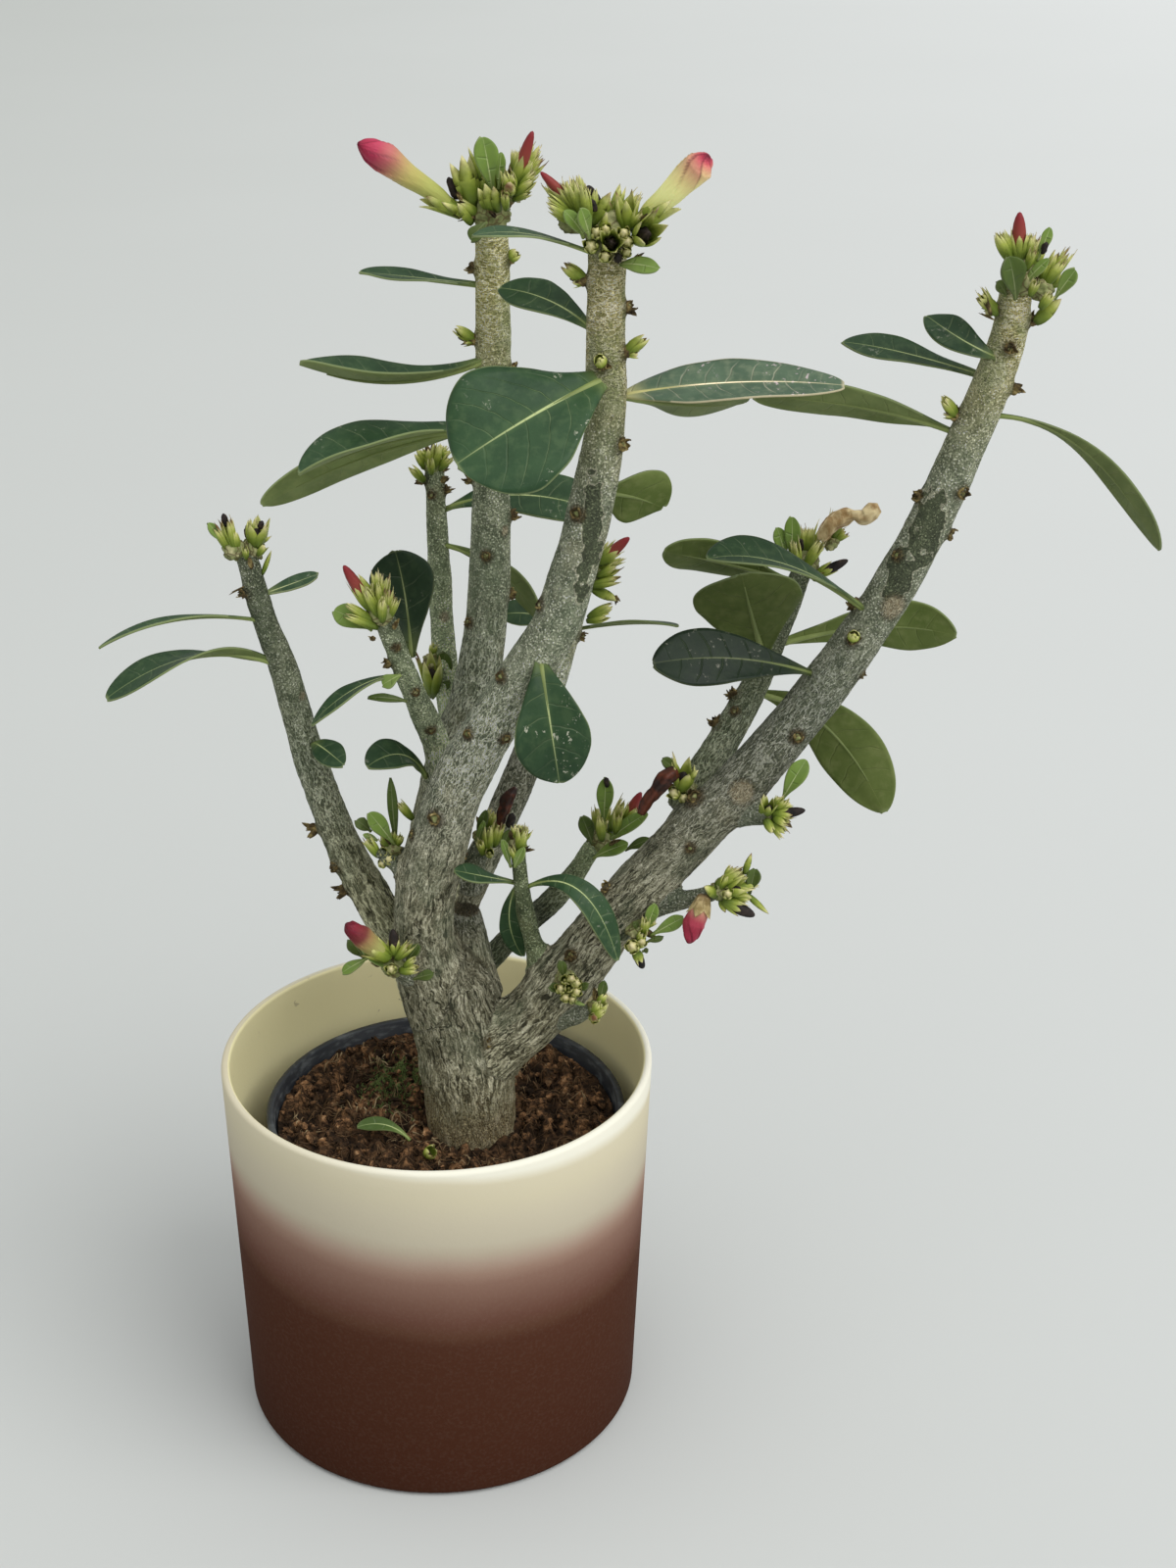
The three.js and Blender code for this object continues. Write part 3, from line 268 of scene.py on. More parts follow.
# Flower heads: parts of (place, axis, core radius, longest bud, degrees of spread, buds).
HEADS = {
    "head_main": [((52, -20, 398), (0, 0, 1), 7, 15, 75, 9), ((43, -22, 402), (-0.5, 0, 1), 5, 14, 45, 5)],
    "head_back": [((19, 20, 395), (0, 0, 1), 6.5, 15, 70, 9), ((26, 20, 402), (0.3, 0, 1), 4.5, 16, 30, 4)],
    "head_slim": [((-1, 52, 310), (0, 0, 1), 4.2, 8, 70, 6)],
    "head_fork": [((-13, -15, 286), (-0.3, -0.2, 1), 4.8, 15, 50, 9)],
    "head_left": [
        ((-56, -5, 301), (-0.5, -0.2, 1), 3.8, 11, 35, 4), ((-51, -3, 301), (0.3, 0.1, 1), 3.8, 10, 30, 4),
    ],
    "head_rear": [((48, 42, 278), (0.6, -0.2, 1), 4.8, 15, 60, 7)],
    "head_low": [((52, 31, 190), (0.5, 0, 1), 4.6, 14, 50, 6)],
    "head_twig": [((27, -15, 210), (0.1, 0, 1), 3.4, 9, 40, 4)],
    "head_upper": [
        ((116, 38, 284), (0.1, 0, 1), 4.8, 14, 55, 6), ((123, 36, 291), (0.4, 0, 1), 2.6, 12, 16, 3),
    ],
    "head_right": [((167, -9, 384), (0, 0, 1), 6, 17, 42, 8), ((173, -9, 381), (0.7, 0, 1), 4, 14, 25, 4)],
    "cluster_right": [((105, -15, 221), (1, -0.2, 0.1), 3.8, 10, 80, 7)],
    "cluster_low_right": [((90, -23, 200), (1, -0.2, 0.2), 4.2, 12, 75, 8)],
    "cluster_elbow": [((64, -18, 183), (0.6, -0.8, 0), 3.8, 10, 75, 6)],
    "cluster_front": [((42, -19.5, 166), (0, -1, 0.2), 4, 8, 80, 7)],
    "cluster_base_right": [((51, -23, 158), (0.4, -0.3, 1), 2.8, 8, 55, 4)],
    "cluster_base_left": [((-12, -19, 170), (-0.3, -0.7, 0.6), 4, 12, 75, 7)],
    "cluster_gap": [((-12, -5, 203), (-0.5, 0, 1), 3, 8, 60, 3)],
    "cluster_upper_foot": [((79, 1, 222.5), (-0.3, -0.3, 1), 3.6, 8, 65, 4)],
    "cluster_slim_foot": [((-2, 38, 249), (-0.1, -0.5, 1), 3.6, 9, 40, 4)],
    "cluster_rear_mid": [((16, 5, 203), (0.1, -0.6, 1), 4, 12, 60, 6)],
}

# What each head shows from the front: kind, root, tip and width of every bud, sepal, scale and small leaf.
HEAD_PARTS = {
    "head_main": [
        ("tip", (44, -24, 405), (34, -23, 414.5), 3.5), ("calyx", (43, -26, 403), (35.5, -29, 410), 3),
        ("calyx", (43, -27, 402), (35.5, -31, 408), 3), ("calyx", (44, -25, 400.5), (36, -27, 405.5), 2.5),
        ("calyx", (44.5, -25, 402.5), (39, -25, 412), 3.5), ("calyx", (46, -27, 402.5), (42.5, -28, 414), 4),
        ("calyx", (46, -21, 403.5), (44, -21, 414), 3.5), ("calyx", (47, -28, 402), (45.5, -31, 413.5), 3.5),
        ("calyx", (48, -24, 402), (48.5, -24, 411), 3.5), ("dark", (50, -23, 406.5), (46.5, -23, 411), 2.5),
        ("dark", (49, -27, 405), (47, -29, 408.5), 2.5), ("sepal", (47.5, -25, 401.5), (53, -26, 410), 3.5),
        ("sepal", (50, -27, 398.5), (52, -29, 405), 2.5), ("leaf", (46, -28, 398), (40.5, -32, 406), 4),
        ("leaf", (47.5, -29, 398), (45, -34, 407), 4), ("cup", (57.5, -23, 399), (56.5, -24, 410), 5.5),
        ("calyx", (58, -24, 400), (61, -26, 405.5), 3.5), ("dry", (61, -27, 402.5), (62, -29, 405), 2),
        ("sepal", (60.5, -26, 401), (69, -27, 408), 3.5), ("sepal", (59.5, -23, 401.5), (67, -23, 409), 3),
        ("cup", (60, -24, 397), (65, -35, 402.5), 6.5), ("knob", (49, -24, 398), (49, -32, 401), 3.5),
        ("knob", (51.5, -24, 398.5), (51.5, -32, 402), 3), ("cup", (53, -24, 395.5), (53, -34, 399), 5),
        ("knob", (56.5, -24, 397.5), (56.5, -32, 401), 3.5),
        ("knob", (57.5, -24, 396), (57.5, -32, 398.5), 3.5),
        ("knob", (51.5, -24, 392), (51.5, -32, 394.5), 3.5), ("knob", (48, -24, 394.5), (47.5, -31, 397), 4),
        ("knob", (57, -24, 393), (57.5, -31, 395.5), 3), ("dark", (55, -26, 391.5), (55, -30, 394), 2.5),
        ("dry", (58.5, -25, 391), (61.5, -27, 394.5), 2), ("blade", (55.5, -27, 391), (66, -30, 390.5), 5),
    ],
    "head_back": [
        ("dark", (9.5, 18, 399), (7, 17, 405.5), 3), ("dry", (11, 16, 398.5), (9, 15, 402.5), 2),
        ("sepal", (14, 17, 398), (7.5, 14, 410), 4), ("sepal", (14, 16, 398), (11, 13, 412.5), 4.5),
        ("sepal", (14.5, 18, 398), (13, 17, 411.5), 3.5), ("leaf", (19.5, 17, 401.5), (17, 15, 417), 7),
        ("sepal", (16, 20, 404.5), (12.5, 20, 413.5), 1.5), ("leaf", (21, 20, 401.5), (22, 20, 412), 3),
        ("tip", (25.5, 18, 402), (31, 17, 418.5), 4.5), ("calyx", (25, 14, 402), (22.5, 11, 409), 3.5),
        ("calyx", (26, 15, 402), (24.5, 12, 408.5), 3.5), ("knob", (24.5, 15, 401.5), (24.5, 10, 405.5), 4),
        ("calyx", (27, 17, 403.5), (31, 17, 410.5), 3), ("calyx", (27, 15, 402.5), (32.5, 13, 408.5), 3.5),
        ("calyx", (26, 15, 401), (32, 11, 406), 3.5), ("calyx", (25.5, 16, 399.5), (31, 12, 403), 3),
        ("sepal", (20, 14, 396.5), (17.5, 11, 405), 3.5), ("sepal", (18.5, 15, 397), (15.5, 12, 403.5), 3),
        ("sepal", (21.5, 14, 396.5), (20, 10, 404.5), 3), ("calyx", (23.5, 14, 397), (23, 10, 403.5), 3),
        ("calyx", (28, 20, 405), (28, 20, 411), 3.5), ("dry", (15, 18, 396), (5.5, 16, 396.5), 3),
        ("dry", (15, 17, 394.5), (8, 15, 394), 2.5), ("sepal", (14, 17, 394.5), (5, 14, 399), 3.5),
        ("calyx", (15, 18, 395), (9, 15.5, 399), 5), ("sepal", (14, 16, 393), (9.5, 13, 399), 3.5),
        ("leaf_dark", (18, 13, 394), (13.5, 11, 389), 4.5), ("dry", (20.5, 14, 395), (18.5, 12, 397), 2),
    ],
    "head_right": [
        ("tip", (165.5, -11, 389), (164.5, -12, 403), 5), ("calyx", (163, -12, 389.5), (158, -14, 398), 4),
        ("calyx", (164, -11, 389.5), (160, -12, 398.5), 3.5),
        ("calyx", (167, -11, 390), (168.5, -12, 397.5), 3),
        ("calyx", (167.5, -13, 387.5), (169, -15, 394.5), 3), ("leaf", (171, -9, 389), (174, -8, 398), 3),
        ("dark", (172, -10, 391), (173, -10, 394.5), 2), ("blade", (167.5, -13, 384), (173, -15, 391), 3),
        ("leaf_dark", (165, -15, 379.5), (161.5, -18, 392), 8),
        ("leaf_dark", (163, -11, 379.5), (160, -12, 384), 3.5),
        ("calyx", (161, -10, 374), (155, -11, 382), 3.5), ("dry", (159, -12, 374.5), (156.5, -13, 379.5), 2),
        ("dry", (160, -11, 373), (155.5, -11, 375), 1), ("calyx", (173.5, -9, 382), (178, -9, 390.5), 5),
        ("leaf", (176, -12, 379), (181, -13, 387.5), 4.5),
        ("sepal", (171.5, -12, 373), (178, -13, 379.5), 4), ("calyx", (172, -14, 377), (175, -15, 382), 3.5),
        ("dry", (170, -13, 383), (171, -13, 386), 1.5), ("calyx", (169, -14, 380.5), (170, -17, 386), 3),
    ],
    "head_left": [
        ("calyx", (-56.5, -5, 300), (-62, -6, 310.5), 4.5), ("calyx", (-55.5, -6, 301), (-58, -7, 312.5), 4),
        ("calyx", (-55, -6, 301), (-55.5, -7, 308), 3), ("leaf", (-58, -6, 302.5), (-63, -7, 310), 3),
        ("dark", (-58, -6, 308.5), (-58.5, -7, 313), 2), ("cup", (-50, -4, 302), (-49, -4, 311), 6),
        ("dark", (-48.5, -5, 307.5), (-47.5, -6, 310.5), 2),
        ("calyx", (-52.5, -7, 299), (-52.5, -9, 304), 2.5), ("dry", (-51, -8, 296.5), (-51, -9, 301), 2.5),
        ("sepal", (-48.5, -4, 293.5), (-45.5, -3, 300.5), 1.5), ("dry", (-54, -6, 290), (-58.5, -7, 288), 1),
        ("knob", (-49.5, -5, 299.5), (-47, -5, 303), 2.5),
    ],
    "head_fork": [
        ("tip", (-15, -16, 286.5), (-23, -17, 301), 4.5), ("calyx", (-12.5, -15, 283.5), (-14, -15, 296), 4),
        ("calyx", (-11, -16, 283.5), (-10, -16, 295), 3.5),
        ("calyx", (-10.5, -16, 284), (-7.5, -17, 292), 3),
        ("calyx", (-13, -18, 285.5), (-17, -19, 295.5), 3.5),
        ("calyx", (-14, -17, 283), (-23, -18, 290), 3.5), ("calyx", (-13.5, -18, 282), (-23.5, -20, 287), 3),
        ("leaf", (-15.5, -13, 279.5), (-26.5, -14, 286), 7),
        ("dry", (-14.5, -18, 278.5), (-16, -20, 280.5), 2.5), ("dry", (-9, -17, 281.5), (-8, -18, 285), 2.5),
        ("calyx", (-12, -19, 284.5), (-11.5, -22, 293.5), 3.5),
        ("leaf", (-7.5, -13, 265.5), (-13, -14, 262.5), 4.5),
        ("blade_dark", (-6, -12, 256.5), (-17.5, -14, 258.5), 2.5),
        ("dry", (-8, -20, 276), (-7, -21, 278.5), 1.5),
    ],
    "cluster_slim_foot": [
        ("cup", (-1.5, 34, 239.5), (-1.5, 30, 255.5), 6.5),
        ("leaf_dark", (-0.5, 37, 238.5), (2.5, 37, 252.5), 6.5),
        ("leaf_dark", (-2, 34, 238), (4, 32, 244.5), 3), ("dark", (1, 35, 236.5), (2.5, 34, 239.5), 2.5),
        ("calyx", (-2.5, 34, 238.5), (-3.5, 31, 247), 3.5),
    ],
    "head_slim": [
        ("calyx", (-1, 50, 309), (0.5, 49, 318.5), 4.5), ("calyx", (0.5, 50, 309), (5, 49, 314.5), 3.5),
        ("sepal", (-3, 51, 309.5), (-6.5, 50, 316), 2), ("sepal", (-3.5, 50, 309.5), (-7, 49, 314.5), 2),
        ("sepal", (-2, 49, 310), (-2.5, 48, 316.5), 2.5), ("dry", (1, 51, 308), (4.5, 51, 310), 2.5),
        ("calyx", (-4, 49, 305.5), (-8.5, 48, 311), 3.5), ("dry", (1, 50, 305.5), (4.5, 49, 306.5), 3.5),
        ("calyx", (-1.5, 47, 308.5), (-1.5, 44, 315), 3),
    ],
    "head_rear": [
        ("tip", (51, 40, 282), (60.5, 38, 291.5), 4.5), ("calyx", (51, 39, 278), (58, 36, 283), 4.5),
        ("calyx", (49, 38, 275.5), (58.5, 35, 279), 4), ("sepal", (49.5, 38, 274.5), (57.5, 36, 271), 3.5),
        ("dry", (56.5, 37, 272.5), (57.5, 36, 270), 2.5), ("calyx", (48, 38, 264.5), (56, 36, 270), 4.5),
        ("calyx", (47.5, 38, 263.5), (55, 35, 266.5), 3.5), ("sepal", (50.5, 41, 279.5), (54, 40, 285), 3.5),
    ],
    "head_upper": [
        ("leaf", (111, 35, 285), (110.5, 34, 300), 5), ("leaf", (109.5, 35, 285), (106, 34, 296.5), 4.5),
        ("leaf_dark", (106, 35, 286), (105, 34, 291), 3), ("calyx", (115, 34, 283), (120.5, 33, 294), 4.5),
        ("darktip", (118.5, 34, 281), (128.5, 33, 286.5), 4),
        ("dark", (114, 35, 288.5), (113.5, 34, 293), 2), ("calyx", (113, 33, 283.5), (111.5, 31, 294.5), 4),
        ("calyx", (118, 33, 280), (121.5, 31, 282), 3),
    ],
    "cluster_upper_foot": [
        ("leaf_dark", (75.5, -3, 230.5), (71, -5, 235), 3.5), ("cup", (77, -4, 224.5), (78, -7, 235.5), 6.5),
        ("sepal", (77.5, -6, 227.5), (82, -8, 233), 2.5), ("knob", (75.5, -3, 222), (74, -8, 226), 4),
        ("dry", (79.5, -4, 222.5), (80.5, -7, 226), 3), ("knob", (78, -3, 220.5), (77.5, -8, 224), 3.5),
    ],
    "head_low": [
        ("leaf", (53.5, 28, 196.5), (54, 26, 214.5), 5.5), ("dark", (54.5, 26, 211), (54, 24, 215.5), 2),
        ("leaf_dark", (50, 28, 189.5), (46.5, 26, 200.5), 5),
        ("calyx", (55.5, 27, 195), (60.5, 26, 208), 4.5), ("tip", (60, 28, 197.5), (65.5, 27, 209), 4.5),
        ("blade", (55.5, 25, 193), (67.5, 23, 203.5), 5), ("leaf", (50, 27, 185), (61.5, 24, 192), 5),
        ("leaf_dark", (60.5, 29, 187), (68.5, 28, 191.5), 3.5),
        ("dry", (55.5, 24, 191.5), (58.5, 22, 195), 2.5), ("calyx", (53, 25, 192.5), (52, 22, 203), 4),
        ("calyx", (57.5, 25, 195), (58, 22, 206), 4),
    ],
    "head_twig": [
        ("calyx", (27.5, -17, 209), (29, -18, 218.5), 4.5),
        ("leaf", (25, -17, 203.5), (22.5, -19, 214), 2.5),
        ("leaf_dark", (25.5, -14, 207), (27, -14, 216), 2.5), ("dry", (28, -16, 208.5), (32, -17, 211), 2.5),
        ("blade", (26, -19, 204.5), (29, -20, 212), 3), ("calyx", (26.5, -18, 206), (25, -20, 213), 2.5),
    ],
    "cluster_rear_mid": [
        ("dark", (23.5, 2, 208), (25, 0, 214), 3), ("calyx", (17, 1, 200), (17.5, -1, 210.5), 4.5),
        ("calyx", (19, 2, 201.5), (21, 0, 212), 4.5), ("leaf_dark", (13.5, 4, 201.5), (16.5, 4, 213), 3),
        ("blade", (13.5, 2, 201), (16, 1, 210.5), 2.5), ("leaf_dark", (21.5, 2, 200), (24, 1, 207.5), 3),
        ("calyx", (15.5, 0, 199.5), (14.5, -3, 206.5), 3), ("knob", (17.5, 1, 198.5), (18, -4, 203), 3.5),
    ],
    "cluster_right": [
        ("leaf", (107, -14, 225.5), (114, -13, 239), 6), ("darktip", (104, -18, 222.5), (114, -19, 225), 4),
        ("calyx", (103.5, -18, 221), (108.5, -20, 216.5), 4.5),
        ("cup", (102.5, -19, 223.5), (103, -23, 230.5), 3.5),
        ("calyx", (105, -17, 224), (108.5, -18, 229), 3.5), ("sepal", (101, -16, 221), (101.5, -16, 229), 2),
        ("calyx", (102, -19, 222), (104.5, -21, 218), 3.5),
        ("calyx", (104.5, -19, 222.5), (109, -22, 221.5), 3.5),
    ],
    "cluster_low_right": [
        ("calyx", (87.5, -24, 201.5), (96.5, -24, 207.5), 5), ("sepal", (96, -24, 206), (98, -23, 212.5), 2),
        ("leaf_dark", (98, -21, 197.5), (99.5, -20, 205.5), 4.5),
        ("cup", (90.5, -26, 200.5), (97.5, -28, 204), 4.5),
        ("knob", (91, -25, 199), (90.5, -32, 203.5), 3.5),
        ("darktip", (89.5, -26, 198), (99.5, -27, 193), 5),
        ("sepal", (97.5, -24, 198.5), (104, -24, 192), 2), ("sepal", (89, -26, 197.5), (90.5, -27, 194), 2),
        ("sepal", (88.5, -25, 199), (83.5, -27, 203), 3.5), ("calyx", (89, -25, 201), (90.5, -26, 206.5), 3),
        ("calyx", (92.5, -25, 199.5), (98.5, -26, 198), 3.5),
    ],
    "cluster_elbow": [
        ("leaf", (68, -20, 182), (78, -21, 189), 4.5), ("leaf", (66.5, -19, 183), (69.5, -19, 192.5), 4),
        ("calyx", (66, -21, 183), (66.5, -22, 190), 3.5), ("leaf_dark", (64.5, -20, 183), (63, -20, 187), 2),
        ("knob", (63, -20, 177.5), (62, -27, 182.5), 4.5),
        ("darktip", (63.5, -21, 177.5), (66, -22, 171.5), 4),
        ("leaf_dark", (66, -20, 179.5), (72, -21, 182), 2),
        ("leaf_dark", (65.5, -20, 176.5), (67.5, -20, 177), 1.5),
        ("calyx", (64.5, -22, 181.5), (66, -24, 186), 3.5),
        ("knob", (65, -20, 179), (65.5, -26, 183.5), 3.5),
    ],
    "cluster_front": [
        ("knob", (42, -22, 166.5), (41.5, -28, 171), 3.5), ("knob", (43.5, -22, 167), (44, -29, 172), 3.5),
        ("knob", (45, -22, 165.5), (45.5, -28, 170), 3.5),
        ("knob", (40.5, -22, 163.5), (40.5, -28, 168), 3.5),
        ("knob", (43, -22, 163.5), (43, -30, 169.5), 3.5), ("knob", (45, -22, 162.5), (45.5, -28, 167), 3.5),
        ("knob", (42, -22, 161), (42, -28, 164.5), 3.5), ("knob", (44, -22, 160), (44, -28, 164), 3),
        ("leaf_dark", (41.5, -22, 168), (40.5, -24, 175), 3),
        ("leaf_dark", (40.5, -22, 163.5), (37, -24, 166), 3),
        ("leaf_dark", (45.5, -22, 164), (49, -24, 166.5), 2.5),
        ("blade", (43, -23, 160.5), (48, -25, 160), 1),
    ],
    "cluster_base_right": [
        ("calyx", (52, -23, 154.5), (54.5, -24, 161.5), 4),
        ("calyx", (50.5, -24, 156), (52.5, -25, 161.5), 3.5),
        ("leaf_dark", (52.5, -22, 159), (54, -22, 167), 3), ("calyx", (50, -25, 155), (54.5, -27, 159.5), 3),
        ("knob", (51, -24, 154.5), (51, -28, 157.5), 3.5),
    ],
    "cluster_base_left": [
        ("darktip", (-11, -21, 174.5), (-11.5, -21, 184), 4),
        ("calyx", (-10.5, -22, 174), (-5, -24, 181), 4),
        ("leaf_dark", (-8, -20, 171), (-3.5, -20, 178), 3.5),
        ("calyx", (-9.5, -23, 170.5), (-3, -25, 172.5), 4),
        ("leaf_dark", (-5.5, -22, 167), (1, -23, 169.5), 3.5),
        ("leaf_dark", (-21, -15, 170), (-25.5, -15, 177), 5),
        ("leaf", (-19, -19, 173), (-27.5, -21, 168.5), 3.5),
        ("blade", (-11.5, -19, 169), (-21, -20, 176.5), 4.5),
        ("dry", (-16, -20, 170.5), (-18.5, -21, 171.5), 2),
        ("knob", (-12, -21, 169.5), (-12, -27, 173.5), 3.5),
        ("calyx", (-8, -24, 172.5), (-4, -26, 177), 2.5),
    ],
    "cluster_gap": [
        ("leaf_dark", (-18.5, -6, 210), (-23, -6, 214), 4),
        ("leaf", (-11.5, -6, 205.5), (-19, -7, 217), 5.5), ("blade", (-16.5, -7, 207.5), (-21, -8, 210), 2),
        ("blade_dark", (-11.5, -3, 206), (-12.5, -2, 226.5), 3),
        ("calyx", (-16, -11, 204), (-20, -11, 211), 4), ("knob", (-15, -9, 203.5), (-14.5, -14, 207.5), 3.5),
        ("knob", (-13, -9, 201.5), (-13, -14, 205), 3.5), ("knob", (-15, -9, 200), (-15, -13, 203), 3),
        ("calyx", (-6, -2, 212.5), (-11, -2, 219), 3.5),
    ],
}

# Spent flowers: (x, y, z, radius) from the calyx to the limp end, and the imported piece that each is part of.
WITHERED_FLOWERS = {
    "withered_upper": [
        (120, 34, 293, 1.7), (122.5, 33, 298, 2.6), (126, 33, 300.5, 2.6), (129.5, 32, 301.5, 1.5),
        (132.5, 32, 301, 2.4), (135, 32, 303, 2.6), (137, 32, 304, 1.4),
    ],
    "withered_upper_foot": [
        (75, -7, 231.5, 2.1), (72, -9, 230.5, 2.8), (69, -10, 227, 2.1), (66.5, -10, 223.5, 1.8),
        (64.5, -10, 219, 1.2),
    ],
    "withered_mid": [
        (21, 1, 210, 1.1), (21.5, 0, 213, 1.5), (23, -1, 218, 2), (24.5, -1, 221, 1.8), (26, -1, 223, 0.8),
    ],
}
WITHERED_NODES = {
    "withered_upper": "head_upper", "withered_upper_foot": "cluster_upper_foot",
    "withered_mid": "cluster_rear_mid",
}

# Large closed flower buds: (x, y, z, radius) from the calyx to the tip.
FLOWER_BUDS = {
    "bud_back": [
        (11.5, 17.8, 395, 1.6), (7.3, 17, 397.4, 2.1), (3.8, 15.9, 400.6, 2.6), (-0.5, 14.8, 403.8, 3.0),
        (-4.3, 13.6, 406.5, 3.4), (-7.9, 12.5, 409.3, 4.0), (-10.9, 11.4, 411.8, 4.3),
        (-14.2, 10.2, 414.1, 3.4), (-16.2, 9.1, 415.4, 1.8), (-17.3, 8, 416.1, 0.5),
    ],
    "bud_main": [
        (58.5, -20, 398.5, 1.7), (61.4, -20, 401, 2.2), (63.7, -20.9, 404, 2.8), (67.3, -21.7, 407.4, 3.2),
        (70.5, -22.6, 410.7, 3.6), (73.6, -23.4, 413.9, 4.0), (76.1, -24.3, 416.6, 4.1),
        (77.6, -25.1, 418.3, 2.8), (78.5, -26, 419.5, 0.7),
    ],
    "bud_base_left": [
        (-13, -21, 174, 2), (-16, -22, 177, 3.1), (-20.5, -24.7, 183, 3.6), (-24, -26.6, 187.6, 2.2),
        (-25, -27.1, 188.9, 0.6),
    ],
    "bud_low_right": [
        (84, -25, 199, 1.6), (83, -26, 195, 3), (81, -27, 190, 3.5), (80, -28, 186, 2.2),
        (79.5, -28, 184, 0.6),
    ],
}
# Length of each bud's calyx, and the colours of its petals from the calyx to the tip.
CALYX_REACH = {"bud_back": 12, "bud_main": 13.5, "bud_base_left": 8, "bud_low_right": 6}
BUD_COLOURS = {
    "bud_back": [
        (0, (150, 165, 78)), (0.3, (188, 190, 106)), (0.45, (204, 190, 116)), (0.56, (206, 162, 120)),
        (0.66, (210, 124, 120)), (0.76, (206, 74, 104)), (0.9, (190, 54, 88)), (1, (150, 38, 66)),
    ],
    "bud_main": [
        (0, (160, 170, 84)), (0.25, (214, 216, 130)), (0.42, (255, 255, 178)), (0.6, (255, 244, 168)),
        (0.76, (255, 220, 164)), (0.86, (250, 168, 146)), (0.94, (220, 90, 108)), (1, (156, 44, 70)),
    ],
    "bud_base_left": [
        (0, (150, 158, 80)), (0.35, (176, 174, 106)), (0.48, (170, 140, 94)), (0.56, (128, 62, 58)),
        (0.72, (140, 38, 56)), (1, (104, 24, 40)),
    ],
    "bud_low_right": [
        (0, (140, 116, 80)), (0.2, (204, 172, 126)), (0.32, (196, 128, 116)), (0.42, (176, 66, 84)),
        (0.6, (160, 44, 68)), (0.8, (166, 48, 74)), (1, (110, 26, 44)),
    ],
}


# ---------------------------------------------------------------------------- node networks

def tint(red, green, blue):
    """A colour given as it looks on a screen, 0..255 each, made linear."""
    def linear(value):
        share = value / 255
        return share / 12.92 if share <= 0.04045 else ((share + 0.055) / 1.055) ** 2.4
    return (linear(red), linear(green), linear(blue), 1)


